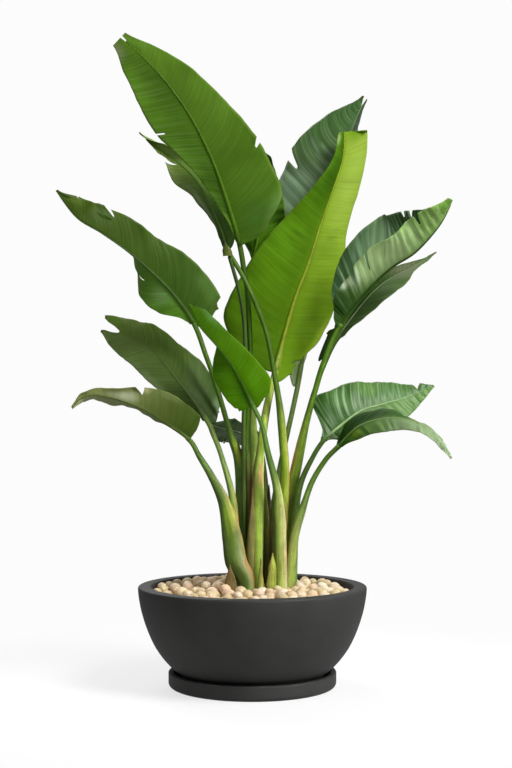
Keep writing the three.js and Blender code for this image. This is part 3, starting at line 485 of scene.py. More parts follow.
def direction(points, place, step=0.02):
    """The way a route goes at a place."""
    ahead = smooth_point(points, min(len(points) - 1, place + step))
    return (ahead - smooth_point(points, max(0, place - step))).normalized()


def add_object(name, data):
    made = bpy.data.objects.new(name, data)
    bpy.context.scene.collection.objects.link(made)
    return made


def add_mesh(bm, name, materials):
    """Turn a bmesh into an object."""
    mesh = bpy.data.meshes.new(name)
    bm.to_mesh(mesh)
    bm.free()
    for material in materials:
        mesh.materials.append(material)
    return add_object(name, mesh)


def add_piece(bm, name, materials, nodes=()):
    """Turn a bmesh into a finished smooth piece that rides on the part."""
    piece = add_mesh(bm, name, materials)
    polygons = piece.data.polygons
    polygons.foreach_set("use_smooth", [True] * len(polygons))
    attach(piece, "root")
    if nodes:
        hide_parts(*nodes)
    return piece


def thicken(piece, wall, other_side=0):
    """Give a sheet its wall, half of it to each side."""
    layer = piece.modifiers.new("thickness", "SOLIDIFY")
    layer.thickness = wall * MM
    layer.offset = 0
    layer.material_offset = other_side


def leaf_sheet(columns, rows):
    """A flat grid from -1 to 1 both ways, with layers for its vein map and its green."""
    bm = bmesh.new()
    bmesh.ops.create_grid(bm, x_segments=columns, y_segments=rows, size=1)
    return bm, bm.loops.layers.uv.new("veins"), bm.verts.layers.float_color.new("green")


def lay_veins(bm, uv, spots):
    """Give every face corner its vertex's spot on the vein map."""
    for face in bm.faces:
        for loop in face.loops:
            loop[uv].uv = spots[loop.vert]


# Nodes

SUM = {"operation": "MULTIPLY_ADD"}
BLEND = {"data_type": "RGBA"}
TONE = {"data_type": "RGBA", "blend_type": "MULTIPLY"}


def new_material(name):
    material = bpy.data.materials.new(name)
    material.use_nodes = True
    tree = material.node_tree
    return material, tree, tree.nodes["Principled BSDF"]


def connect(tree, node, **sockets):
    """Link or set a node's inputs by name, with _ for a space, or by number, as in i0."""
    for key, value in sockets.items():
        numbered = key[0] == "i" and key[1:].isdigit()
        socket = node.inputs[int(key[1:]) if numbered else key.replace("_", " ")]
        if isinstance(value, bpy.types.NodeSocket):
            tree.links.new(value, socket)
        else:
            socket.default_value = value


def add_node(tree, kind, settings=None, stops=(), out=0, **sockets):
    """Add a node with its settings, colour stops and inputs, and return one of its outputs.
    A stop is a place and a grey or hex colour."""
    node = tree.nodes.new("ShaderNode" + kind)
    for key, value in (settings or {}).items():
        setattr(node, key, value)
    connect(tree, node, **sockets)
    if stops:
        elements = node.color_ramp.elements
        while len(elements) < len(stops):
            elements.new(0.5)
        for element, (place, colour) in zip(elements, stops):
            element.position = place
            element.color = linear(colour) if isinstance(colour, int) else [colour] * 3 + [1]
    return node.outputs[out]


# The camera and the light

def add_camera():
    data = bpy.data.cameras.new("camera")
    camera = add_object("camera", data)
    data.sensor_width = SENSOR
    data.lens = SENSOR * FOCAL_PX / FRAME_HEIGHT_PX
    data.shift_y = (HORIZON_PX - FRAME_HEIGHT_PX / 2) / FRAME_HEIGHT_PX
    data.clip_end = FARTHEST_SEEN * MM
    camera.location = Vector((CAMERA_RIGHT, -CAMERA_BACK, CAMERA_HEIGHT)) * MM
    camera.rotation_euler = (math.pi / 2, 0, 0)
    bpy.context.scene.camera = camera


def add_light(name, place, aim, size, power, spread):
    data = bpy.data.lights.new(name, "AREA")
    data.shape = "RECTANGLE"
    data.size, data.size_y = size
    data.energy = power
    data.spread = math.radians(spread)
    light = add_object(name, data)
    light.location = place
    light.rotation_euler = (Vector(aim) - Vector(place)).to_track_quat("-Z", "Y").to_euler()


def seen_and_given(tree, seen, given):
    """How bright a backdrop looks, and how much light it gives to the plant."""
    looked_at = add_node(tree, "LightPath", out="Is Camera Ray")
    return add_node(tree, "Math", SUM, i0=looked_at, i1=seen - given, i2=given)


def white_painted_floor():
    """White paint that takes the pot's shadow, and turns into plain bright paper further out."""
    material, tree, shader = new_material("white painted floor")
    place = add_node(tree, "TexCoord", out="Object")
    reach = add_node(tree, "VectorMath", {"operation": "LENGTH"}, out="Value", i0=place)
    far = add_node(tree, "MapRange", {"interpolation_type": "SMOOTHSTEP"}, i0=reach,
                   i1=PAINT_ENDS, i2=PAPER_STARTS)
    connect(tree, shader, Base_Color=(FLOOR_GREY, FLOOR_GREY, FLOOR_GREY, 1), Roughness=0.9,
            Specular_IOR_Level=0.0, Emission_Color=(1, 1, 1, 1),
            Emission_Strength=seen_and_given(tree, NEAR_FLOOR, FLOOR_GLOW))
    paper = add_node(tree, "Emission", Strength=seen_and_given(tree, PAPER_WHITE, FLOOR_GLOW))
    both = add_node(tree, "MixShader", i0=far, i1=shader.outputs[0], i2=paper)
    connect(tree, tree.nodes["Material Output"], Surface=both)
    return material


def add_studio():
    """A white sweep under a soft white sky, lit from the upper right."""
    scene = bpy.context.scene
    scene.view_settings.view_transform = "Standard"
    scene.world = bpy.data.worlds.new("studio")
    scene.world.use_nodes = True
    tree = scene.world.node_tree
    connect(tree, tree.nodes["Background"], Color=(1, 1, 1, 1),
            Strength=seen_and_given(tree, PAPER_WHITE, SKY))
    for name, light in LIGHTS.items():
        add_light(name, *light)
    floor = bmesh.new()
    bmesh.ops.create_grid(floor, x_segments=1, y_segments=1, size=FLOOR_REACH)
    add_mesh(floor, "floor", [white_painted_floor()])


# Materials. A pattern's scale is how many of its marks fit in a metre

def cast_fibre_clay():
    """Charcoal fibre clay, cast and left matte: 1 mm grit, faint clouds of about 70 mm, a dry
    soft sheen."""
    material, tree, shader = new_material("cast fibre clay, charcoal")
    place = add_node(tree, "TexCoord", out="Object")
    clouds = add_node(tree, "TexNoise", Vector=place, Scale=14.0, Detail=5.0)
    grit = add_node(tree, "TexNoise", Vector=place, Scale=900.0, Detail=2.0)
    tone = add_node(tree, "Math", SUM, i0=grit, i1=0.25, i2=clouds)
    connect(tree, shader, Specular_IOR_Level=0.4,
            Base_Color=add_node(tree, "ValToRGB", i0=tone,
                                stops=[(0.42, 0x2A2A29), (0.78, 0x343432)]),
            Roughness=add_node(tree, "MapRange", i0=clouds, i3=0.55, i4=0.72),
            Normal=add_node(tree, "Bump", Height=grit, Strength=0.25, Distance=0.0004))
    return material


def potting_soil():
    """Damp potting soil: dark crumbs of about 6 mm, some of them paler."""
    material, tree, shader = new_material("potting soil")
    place = add_node(tree, "TexCoord", out="Object")
    crumbs = add_node(tree, "TexVoronoi", Vector=place, Scale=160.0)
    connect(tree, shader, Roughness=0.95,
            Base_Color=add_node(tree, "ValToRGB", i0=crumbs,
                                stops=[(0, 0x20160F), (0.6, 0x4A3728), (1, 0x6B5642)]),
            Normal=add_node(tree, "Bump", Height=crumbs, Distance=0.003))
    return material


def river_pebble():
    """Tumbled cream and pink river pebbles: chalky, with faint clouds of about 8 mm, each its
    own tone."""
    material, tree, shader = new_material("tumbled river pebble")
    place = add_node(tree, "TexCoord", out="Object")
    tone = add_node(tree, "Attribute", {"attribute_name": "tone"}, out="Fac")
    body = add_node(tree, "ValToRGB", i0=tone,
                    stops=[(0, 0x6E5A38), (0.2, 0xC8B088), (0.45, 0xDAC698), (0.7, 0xDFBF9C),
                           (1, 0xF0E4C8)])
    cloud = add_node(tree, "TexNoise", Vector=place, Scale=120.0, Detail=6.0)
    shade = add_node(tree, "ValToRGB", i0=cloud, stops=[(0.3, 0.86), (0.7, 1.0)])
    connect(tree, shader, Roughness=0.55,
            Base_Color=add_node(tree, "Mix", TONE, out=2, i0=1.0, i6=body, i7=shade),
            Normal=add_node(tree, "Bump", Height=cloud, Strength=0.3, Distance=0.0006))
    return material


def living_leaf(name, roughness, shine, contrast):
    """A living leaf's skin. Its green comes with the mesh, and carries painted light and shade;
    streaks follow the side veins, about 5 mm apart, with finer ones 2 mm apart between them,
    over soft 60 mm mottling. The finest real lines are closer together than that, and wouldn't
    show. Where the mesh's sheen is high, the light streaks are painted pale, as a painted sheen."""
    material, tree, shader = new_material(name)
    dark, light = contrast
    tint = add_node(tree, "Attribute", {"attribute_name": "green"}, out="Color")
    painted_sheen_amount = add_node(tree, "Attribute", {"attribute_name": "sheen"}, out="Fac")
    veins = add_node(tree, "UVMap", {"uv_map": "veins"})
    broad_way = add_node(tree, "Mapping", Vector=veins, Scale=(5, 210, 1))
    broad = add_node(tree, "TexNoise", Vector=broad_way, Scale=1.0, Detail=2.0)
    fine_way = add_node(tree, "Mapping", Vector=veins, Scale=(9, 520, 1))
    fine = add_node(tree, "TexNoise", Vector=fine_way, Scale=1.0, Detail=1.0)
    place = add_node(tree, "TexCoord", out="Object")
    mottle = add_node(tree, "TexNoise", Vector=place, Scale=16.0, Detail=4.0)
    streak = add_node(tree, "Math", SUM, i0=fine, i1=0.7, i2=broad)
    streak_shade = add_node(tree, "ValToRGB", i0=streak,
                            stops=[(0.6, dark), (0.85, 1.0), (1.1, light)])
    mottle_shade = add_node(tree, "ValToRGB", i0=mottle, stops=[(0.3, 0.9), (0.7, 1.08)])
    streaked = add_node(tree, "Mix", TONE, out=2, i0=1.0, i6=tint, i7=streak_shade)
    mottled = add_node(tree, "Mix", TONE, out=2, i0=1.0, i6=streaked, i7=mottle_shade)
    light_streak = add_node(tree, "MapRange", i0=streak, i1=0.8, i2=1.15)
    # painted sheen: pale colour laid over the base colour along the light streaks
    painted_sheen_mask = add_node(tree, "Math", {"operation": "MULTIPLY"}, i0=light_streak, i1=painted_sheen_amount)
    connect(tree, shader, Specular_IOR_Level=shine,
            Base_Color=add_node(tree, "Mix", BLEND, out=2, i0=painted_sheen_mask, i6=mottled,
                                i7=linear(PAINTED_SHEEN_TINT)),
            Normal=add_node(tree, "Bump", Height=streak, Strength=0.4, Distance=0.0007),
            Roughness=add_node(tree, "MapRange", i0=mottle, i3=roughness - 0.06,
                               i4=roughness + 0.08))
    return material


def fleshy_stalk():
    """A juicy stalk and its sheath, waxy: lengthwise fibres about 4 mm apart, drawn coarser
    than life so that they show, 25 mm mottling and dry tan specks of about 4 mm."""
    material, tree, shader = new_material("waxy leaf stalk")
    tint = add_node(tree, "Attribute", {"attribute_name": "green"}, out="Color")
    along = add_node(tree, "UVMap", {"uv_map": "veins"})
    way = add_node(tree, "Mapping", Vector=along, Scale=(260, 7, 1))
    fibre = add_node(tree, "TexNoise", Vector=way, Scale=1.0, Detail=3.0)
    place = add_node(tree, "TexCoord", out="Object")
    mottle = add_node(tree, "TexNoise", Vector=place, Scale=40.0, Detail=4.0)
    fibre_shade = add_node(tree, "ValToRGB", i0=fibre, stops=[(0.3, 0.72), (0.65, 1.12)])
    mottle_shade = add_node(tree, "ValToRGB", i0=mottle, stops=[(0.3, 0.8), (0.7, 1.12)])
    fibrous = add_node(tree, "Mix", TONE, out=2, i0=1.0, i6=tint, i7=fibre_shade)
    mottled = add_node(tree, "Mix", TONE, out=2, i0=1.0, i6=fibrous, i7=mottle_shade)
    speck = add_node(tree, "TexNoise", Vector=place, Scale=240.0, Detail=2.0)
    spots = add_node(tree, "ValToRGB", i0=speck, stops=[(0.64, 0.0), (0.74, 0.6)])
    connect(tree, shader, Roughness=0.42, Specular_IOR_Level=0.18,
            Base_Color=add_node(tree, "Mix", BLEND, out=2, i0=spots, i6=mottled,
                                i7=linear(STALK_SPECK)),
            Normal=add_node(tree, "Bump", Height=fibre, Strength=0.4, Distance=0.0008))
    return material


# The holder

def make_turned(profile, name, material, node):
    """A turned piece; its profile closes on itself or on the axis."""
    bm = bmesh.new()
    corners = [bm.verts.new((radius * MM, 0, height * MM)) for radius, height in profile]
    edges = [bm.edges.new(pair) for pair in zip(corners, corners[1:])]
    if profile[0][0] > 0:
        edges.append(bm.edges.new((corners[-1], corners[0])))
    bmesh.ops.spin(bm, geom=corners + edges, cent=(0, 0, 0), axis=(0, 0, 1),
                   angle=2 * math.pi, steps=TURNED_STEPS, use_merge=True, use_duplicate=False)
    bmesh.ops.remove_doubles(bm, verts=bm.verts, dist=TURNED_SEAM)
    bmesh.ops.recalc_face_normals(bm, faces=bm.faces)
    add_piece(bm, name, [material], [node])


def curve_through(points, steps):
    places = [k * (len(points) - 1) / steps for k in range(steps + 1)]
    return [tuple(smooth_value([p[axis] for p in points], place) for axis in (0, 1))
            for place in places]


def rounded_corner(centre, radius, start, end, steps=6):
    turns = [math.radians(start + (end - start) * k / steps) for k in range(steps + 1)]
    return [(centre[0] + radius * math.cos(t), centre[1] + radius * math.sin(t))
            for t in turns]


def make_pot(material):
    """The bowl, its rim rounded over, its floor open at the drain hole."""
    seat = SAUCER_FLOOR + SEAT_GAP
    profile = [(DRAIN_RADIUS, seat), (POT_FOOT - 2, seat), (POT_FOOT, seat + 1)]
    profile += curve_through(POT_OUTSIDE, 40)
    profile += rounded_corner((RIM_OUTSIDE - RIM_OUTER_EDGE, POT_HEIGHT - RIM_OUTER_EDGE),
                              RIM_OUTER_EDGE, 0, 90)
    profile += rounded_corner((RIM_INSIDE + RIM_INNER_EDGE, POT_HEIGHT - RIM_INNER_EDGE),
                              RIM_INNER_EDGE, 90, 180)
    profile += curve_through(POT_INSIDE, 30) + [(DRAIN_RADIUS, POT_FLOOR)]
    make_turned(profile, "pot_bowl", material, "pot")


def make_saucer(material):
    inner = SAUCER_RADIUS - SAUCER_WALL
    foot = SAUCER_RADIUS - SAUCER_TOE
    profile = [(0, 0), (foot, 0)] + rounded_corner((foot, SAUCER_TOE), SAUCER_TOE, -90, 0, 8)
    profile += rounded_corner((SAUCER_RADIUS - SAUCER_LIP, SAUCER_HEIGHT - SAUCER_LIP),
                              SAUCER_LIP, 0, 90)
    profile += rounded_corner((inner + SAUCER_INNER_LIP, SAUCER_HEIGHT - SAUCER_INNER_LIP),
                              SAUCER_INNER_LIP, 90, 180)
    profile += rounded_corner((inner - SAUCER_COVE, SAUCER_FLOOR + SAUCER_COVE),
                              SAUCER_COVE, 0, -90)
    make_turned(profile + [(0, SAUCER_FLOOR)], "saucer_dish", material, "saucer")


def heap_top(x, y):
    """Height of the pebble bed, which is heaped up round the stalks."""
    away = math.hypot(x - HEAP_CENTRE[0], y - HEAP_CENTRE[1])
    slope = smooth_step(HEAP_TOP_RADIUS, HEAP_FOOT_RADIUS, away)
    return BED_EDGE_HEIGHT + HEAP_HEIGHT * (1 - slope)


def among_stalks(x, y, size):
    """Whether a pebble here would cut into a leaf's sheath."""
    room = SHEATH_ROOM * size
    return any(abs(x - leaf["root"][0]) < leaf["sheath"][0][1] + room
               and abs(y - leaf["root"][1]) < SHEATH_DEPTH + room for leaf in LEAVES)


def cell_of(x, y):
    return int(x // PEBBLE_CELL), int(y // PEBBLE_CELL)


def settle_pebbles(draw):
    """Drop pebbles one by one; each rests on those that it touches below, or is pressed into
    the soil to its middle, so that two layers hide the soil."""
    soil_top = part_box("soil")[1][2] / MM
    settled = []
    cells = {}
    for _ in range(PEBBLE_DROPS):
        size = draw.uniform(*PEBBLE_RADII)
        lowest = None
        for _ in range(PEBBLE_TRIES):
            reach = (BED_RADIUS - size) * math.sqrt(draw.random())
            turn = draw.uniform(0, 2 * math.pi)
            x, y = reach * math.cos(turn), reach * math.sin(turn)
            if among_stalks(x, y, size):
                continue
            rest = soil_top
            column, row = cell_of(x, y)
            for cell in [(column + i, row + j) for i in (-1, 0, 1) for j in (-1, 0, 1)]:
                for other in cells.get(cell, ()):
                    room = size + other[3]
                    apart = math.hypot(x - other[0], y - other[1])
                    if apart < room:
                        rest = max(rest, other[2] + math.sqrt(room * room - apart * apart))
            if lowest is None or rest < lowest[2]:
                lowest = (x, y, rest, size)
        if not lowest:
            continue
        x, y, rest, size = lowest
        if rest + size < heap_top(x, y) + draw.uniform(-HEAP_ROUGHNESS, HEAP_ROUGHNESS):
            settled.append(lowest)
            cells.setdefault(cell_of(x, y), []).append(lowest)
    return settled


def make_pebbles(material):
    """Loose round pebbles, each one turned and toned on its own, with painted shade at the back
    left.
    """
    draw = random.Random(PEBBLE_SEED)
    bm = bmesh.new()
    tone = bm.verts.layers.float.new("tone")
    for x, y, height, size in settle_pebbles(draw):
        made = bmesh.ops.create_icosphere(bm, subdivisions=2, radius=1)["verts"]
        flat = draw.uniform(*PEBBLE_FLATNESS)
        long = draw.uniform(*PEBBLE_STRETCH)
        bmesh.ops.scale(bm, vec=Vector((size * long, size, size * flat)) * MM, verts=made)
        turn = Euler((draw.uniform(-PEBBLE_TILT, PEBBLE_TILT),
                      draw.uniform(-PEBBLE_TILT, PEBBLE_TILT), draw.uniform(0, PEBBLE_TURN)))
        bmesh.ops.transform(bm, matrix=turn.to_matrix().to_4x4(), verts=made)
        bmesh.ops.translate(bm, vec=Vector((x, y, height)) * MM, verts=made)
        colour = draw.uniform(*PEBBLE_TONES)
        # painted shade: pebbles at the back left are drawn darker
        if y - 0.6 * x > draw.uniform(*PAINTED_SHADE_FROM):
            colour *= PAINTED_SHADE_TONE
        for vert in made:
            vert[tone] = colour
    add_piece(bm, "pebble_bed", [material], ["pebbles"])


# Leaves

class Blade:
    """Where each point of a leaf's blade lies. A point's row is where its side vein leaves the
    midrib, its spread is how far out it is on its half, and its share is how far along."""

    SAMPLES = 240
    STEPS = 20

    def __init__(self, leaf):
        x, y = leaf["root"]
        self.leaf = leaf
        self.seed = len(leaf["name"]) * 3.1 + x
        self.lobes = leaf.get("lobes")
        self.cleft = leaf.get("cleft", (1, 0))
        self.route = [(x, y, HOLE_FOOT), (x, y, STRAIGHT_TOP)] + leaf["stalk"] + leaf["rib"]
        self.start = len(self.route) - len(leaf["rib"])
        steps = self.STEPS * (len(leaf["rib"]) - 1)
        points = [smooth_point(self.route, self.start + k / self.STEPS)
                  for k in range(steps + 1)]
        lengths = [0]
        for before, after in zip(points, points[1:]):
            lengths.append(lengths[-1] + (after - before).length)
        self.length = lengths[-1]
        self.frames = []
        index = 1
        shares = [k / self.SAMPLES for k in range(self.SAMPLES + 1)]
        for share in shares:
            along = self.length * share
            while index < steps and lengths[index] < along:
                index += 1
            part = (along - lengths[index - 1]) / (lengths[index] - lengths[index - 1])
            self.frames.append(self.frame(share, self.start + (index - 1 + part) / self.STEPS))
        self.tables = [[(self.half_width(side, share), along_list(leaf["lift"][side], share),
                         along_list(leaf["curl"][side], share)) for share in shares]
                       for side in (LEFT, RIGHT)]

    def frame(self, share, place):
        along = direction(self.route, place)
        stops = self.leaf["face"]
        low, high = next((a, b) for a, b in zip(stops, stops[1:]) if share <= b[0] + 1e-9)
        f = (share - low[0]) / (high[0] - low[0])
        across = along.cross(Vector(low[1:]).lerp(Vector(high[1:]), f)).normalized()
        return smooth_point(self.route, place), along, across, across.cross(along)

    def spot(self, share):
        place = min(max(share, 0), 1) * self.SAMPLES
        index = min(int(place), self.SAMPLES - 1)
        return index, place - index

    def at(self, share):
        """Midrib point and the directions along, across and facing at a share."""
        index, f = self.spot(share)
        return [a.lerp(b, f) for a, b in zip(self.frames[index], self.frames[index + 1])]

    def half(self, side, share):
        """Half width, lift and curl of a half at a share."""
        index, f = self.spot(share)
        table = self.tables[side]
        return [a + (b - a) * f for a, b in zip(table[index], table[index + 1])]

    def half_width(self, side, share):
        widths = self.leaf["widths"][side]
        first = WIDTH_STATIONS[0]
        if share <= first:
            width = widths[0] * math.sqrt(max(share, 0) / first)
        else:
            index = next(k for k, s in enumerate(WIDTH_STATIONS) if s >= share - 1e-9)
            low, high = WIDTH_STATIONS[index - 1], WIDTH_STATIONS[index]
            width = smooth_value(widths, index - 1 + (share - low) / (high - low))
        if self.lobes:
            width = max(width, self.lobes[side][1] * (1 - smooth_step(0.02, 0.12, share)))
        return max(width, self.leaf["radius"] * LEAST_HALF)

    def share_of(self, side, spread, row):
        """Where a vein that leaves the midrib at a row has got to, along the blade. Veins bend
        forward on their way out, and lie closer to the midrib at both ends."""
        width = self.half(side, row)[0]
        slant = self.leaf["slant"] * width / self.length * spread ** 1.25
        slant *= min(1, row * 6) * (1 - 0.35 * row)
        return row + min(slant, 0.5 * (1 - row))

    def wave_and_ripple(self, spread, row, share):
        """How far the margin's waves lift a point, and how far ripples and small folds do."""
        height, count, start = self.leaf["wave"]
        rise = height * spread ** 2 * math.sin(2 * math.pi * count * share + start)
        rise += 0.3 * height * spread ** 3 * math.sin(5.4 * math.pi * count * share + 2)
        rise *= min(1, share * 8) * min(1, (1 - share) * 12)
        along = row * self.length
        ripple = noise.noise(Vector((along / RIPPLE_LENGTH, spread * 1.2, self.seed)))
        fold = noise.noise(Vector((along / FOLD_LENGTH, spread * 0.6, self.seed + 9)))
        return rise, (RIPPLE_HEIGHT * ripple + FOLD_HEIGHT * fold) * min(1, spread * 3)

    def pleat(self, spread, row):
        """How far a fold along the side veins lifts a point; it fades at midrib and margin."""
        height, count = self.leaf.get("pleat", (0, 0))
        way = row * count + 0.8 * noise.noise(Vector((row * 7, self.seed, 2)))
        fade = 2.6 * spread * (1.12 - spread) * min(1, 8 * (1 - row))
        return height * (4 * abs(way % 1 - 0.5) - 1) * fade

    def point(self, reach, row):
        """A point of the blade on the vein that leaves the midrib at a row."""
        leaf = self.leaf
        side = side_of(reach)
        spread = self.beside_cleft(abs(reach), row)
        opening, lip = self.tear_shift(side, spread, row)
        share = self.share_of(side, spread, row) + opening / self.length
        share = min(max(share, 0), 1)
        middle, along, across, facing = self.at(share)
        if self.lobes:
            hang = self.lobes[side][0] * math.sin(math.pi * min(1, spread * 1.15) ** 0.6)
            middle = middle - along * hang * max(0, 1 - row / 0.16) ** 2
        width, lift, curl = self.half(side, share)
        width *= 1 + UNEVEN_EDGE * noise.noise(Vector((share * 30, spread, self.seed)))
        out, up = curled(width, math.radians(lift), math.radians(curl), spread)
        wave, ripple = self.wave_and_ripple(spread, row, share)
        rise = wave + (ripple + lip)
        rise += self.pleat(spread, row)
        turn = math.radians(lift + curl * spread)
        out -= rise * math.sin(turn)
        up += rise * math.cos(turn)
        place = middle + across * (out if side == RIGHT else -out) + facing * up
        if side == RIGHT:
            place.z += leaf.get("rake", 0) * spread * smooth_step(0.7, 0.92, share)
            place += along * leaf.get("reach", 0) * spread * smooth_step(0.8, 1, share)
        return place, share

    def tear_shift(self, side, spread, row):
        """How far a torn margin parts along the blade, and how far its lip lifts."""
        opening = lip = 0
        for torn_side, place, depth, gap in self.leaf.get("tears", ()):
            inner = 1 - depth
            if torn_side == side and spread > inner:
                f = (spread - inner) / depth
                rows = (row - torn_row(place)) * BLADE_ROWS
                near = max(0, 1 - abs(rows) / TEAR_REACH)
                way = 1 if rows > 0 else -1
                opening += way * gap * f * near
                lip += way * TEAR_LIP * gap * f * f * near
        return opening, lip

    def beside_cleft(self, spread, row):
        """A split tip's inner columns move away from the midrib."""
        start, wide = self.cleft
        if row <= start:
            return spread
        inner = 1 / CLEFT_STEP + (wide - 1 / CLEFT_STEP) * (row - start) / (1 - start)
        return inner + (1 - inner) * (spread - 1 / CLEFT_STEP) / (1 - 1 / CLEFT_STEP)

    def is_torn(self, reach, row):
        """Whether the cell here is left out for the cleft or a tear."""
        if row > self.cleft[0] and abs(reach) < 1 / CLEFT_STEP:
            return True
        return any(torn_side == side_of(reach) and abs(reach) > 1 - depth
                   and abs(row - torn_row(place)) < 0.3 / BLADE_ROWS
                   for torn_side, place, depth, _ in self.leaf.get("tears", ()))


def torn_row(place):
    """The middle of the row of cells that a tear takes out."""
    return (math.floor(place * BLADE_ROWS) + 0.5) / BLADE_ROWS


def curled(width, lift, curl, spread):
    """How far across and how far up a half has got, when it leaves the midrib at a lift and
    turns by its curl on the way to the margin."""
    if abs(curl) < 0.01:
        return width * spread * math.cos(lift), width * spread * math.sin(lift)
    end = lift + curl * spread
    return (width / curl * (math.sin(end) - math.sin(lift)),
            width / curl * (math.cos(lift) - math.cos(end)))


def make_blade(leaf, blade, skins):
    """A leaf's blade: a grid whose rows follow the side veins, torn where the leaf is."""
    bm, uv, green = leaf_sheet(BLADE_COLUMNS, BLADE_ROWS)
    sheen = bm.verts.layers.float.new("sheen")
    middles = [(face, face.calc_center_median()) for face in bm.faces]
    torn = [face for face, middle in middles if blade.is_torn(middle.x, (middle.y + 1) / 2)]
    bmesh.ops.delete(bm, geom=torn, context="FACES")
    paint = LeafPaint(leaf)
    spots = {}
    for vert in bm.verts:
        reach, row = vert.co.x, (vert.co.y + 1) / 2
        side = side_of(reach)
        place, share = blade.point(reach, row)
        vert.co = place * MM
        vert[green] = paint.colour(side, share, abs(reach), row)
        # painted sheen: how much pale colour the streaks get, none on the midrib
        vert[sheen] = leaf["sheen"][side] * smooth_step(0.03, 0.2, abs(reach))
        spots[vert] = (reach * blade.half(side, share)[0] * MM, row * blade.length * MM)
    lay_veins(bm, uv, spots)
    bmesh.ops.recalc_face_normals(bm, faces=bm.faces)
    pair = [skins[leaf.get("skin", "satin")], skins["under"]]
    if leaf.get("shown", "under") == "under":
        pair.reverse()
    piece = add_piece(bm, leaf["name"] + "_blade", pair, [leaf["name"]])
    thicken(piece, BLADE_THICKNESS, other_side=1)


class LeafPaint:
    """The greens of one leaf: its halves, its soft patches of colour, a pale margin and a dry tip.
    Greens and patches carry painted shade, painted highlights and painted light shining
    through the blade, and the pale streaks are painted sheen.
    """

    def __init__(self, leaf):
        self.green = [all_linear(pair) for pair in leaf["green"]]
        self.tints_and_light = [tint[:5] + (linear(tint[5]), tint[6]) for tint in leaf.get("tints_and_light", ())]
        draw = random.Random(leaf["name"])
        self.streaks = []
        for side, low, high, count, colour, strength in leaf.get("streaks", ()):
            for _ in range(count):
                inner = draw.uniform(0, 0.5)
                self.streaks.append((side, draw.uniform(low, high), draw.uniform(0.006, 0.012),
                                     inner, inner + draw.uniform(0.25, 0.7), linear(colour),
                                     strength * draw.uniform(0.5, 1)))
        self.margin = linear(LEAF_MARGIN)
        self.dry = linear(DRY_TIP)
        self.dryness = leaf["dry"]

    def colour(self, side, share, spread, row):
        f = smooth_step(0.05, 0.9, share)
        # the halves' greens carry painted light and shade as well as the leaf's own colour
        colours = [mix(*pair, f) for pair in self.green]
        colour = mix(mix(*colours, 0.5), colours[side], smooth_step(0, 0.1, spread))
        # soft patches: the leaf's own tones, painted shade, painted highlights and painted light
        # shining through the blade
        for tint_side, along, across, long, wide, tint, strength in self.tints_and_light:
            if tint_side == side:
                far = math.hypot((share - along) / long, (spread - across) / wide)
                colour = mix(colour, tint, strength * (1 - smooth_step(0.1, 1, far)))
        # streaks along the veins: dark veins, and pale painted sheen
        for streak_side, place, wide, inner, outer, tint, strength in self.streaks:
            near = 1 - abs(row - place) / wide
            if streak_side == side and near > 0:
                near *= smooth_step(inner, inner + 0.15, spread)
                near *= 1 - smooth_step(outer - 0.2, outer, spread)
                colour = mix(colour, tint, strength * near)
        colour = mix(colour, self.margin, 0.2 * smooth_step(0.97, 1, spread))
        return mix(colour, self.dry, smooth_step(0.97, 1, share) * self.dryness)


def sheath_width(leaf, height):
    """A sheath's half width at a height; above its last entry the stalk is round."""
    table = leaf["sheath"]
    if height <= table[0][0]:
        return table[0][1]
    for (low, wide), (high, narrow) in zip(table, table[1:]):
        if height <= high:
            return wide + (narrow - wide) * (height - low) / (high - low)
    last = table[-1]
    return last[1] + (leaf["radius"] - last[1]) * min(1, (height - last[0]) / SHEATH_FADE)


def make_tube(name, rings, colours, material, nodes):
    """A closed tube: a grid wrapped round the rings, one colour a point."""
    rows = len(rings) - 1
    bm, uv, green = leaf_sheet(STALK_SIDES, rows)
    spots = {}
    for vert in bm.verts:
        turn = (vert.co.x + 1) / 2
        row = round((vert.co.y + 1) / 2 * rows)
        centre, across, outward = rings[row]
        angle = 2 * math.pi * turn
        spots[vert] = (turn * 0.06, row / rows * 0.8)
        vert[green] = colours(row / rows, angle, centre)
        vert.co = (centre + across * math.cos(angle) + outward * math.sin(angle)) * MM
    lay_veins(bm, uv, spots)
    bmesh.ops.remove_doubles(bm, verts=bm.verts, dist=TUBE_SEAM)
    bmesh.ops.holes_fill(bm, edges=[edge for edge in bm.edges if edge.is_boundary])
    bmesh.ops.recalc_face_normals(bm, faces=bm.faces)
    add_piece(bm, name, [material], nodes)


def front_frame(along):
    """The directions across a stalk and out of its front."""
    across = along.cross(Vector((0, -1, 0))).normalized()
    return across, across.cross(along)


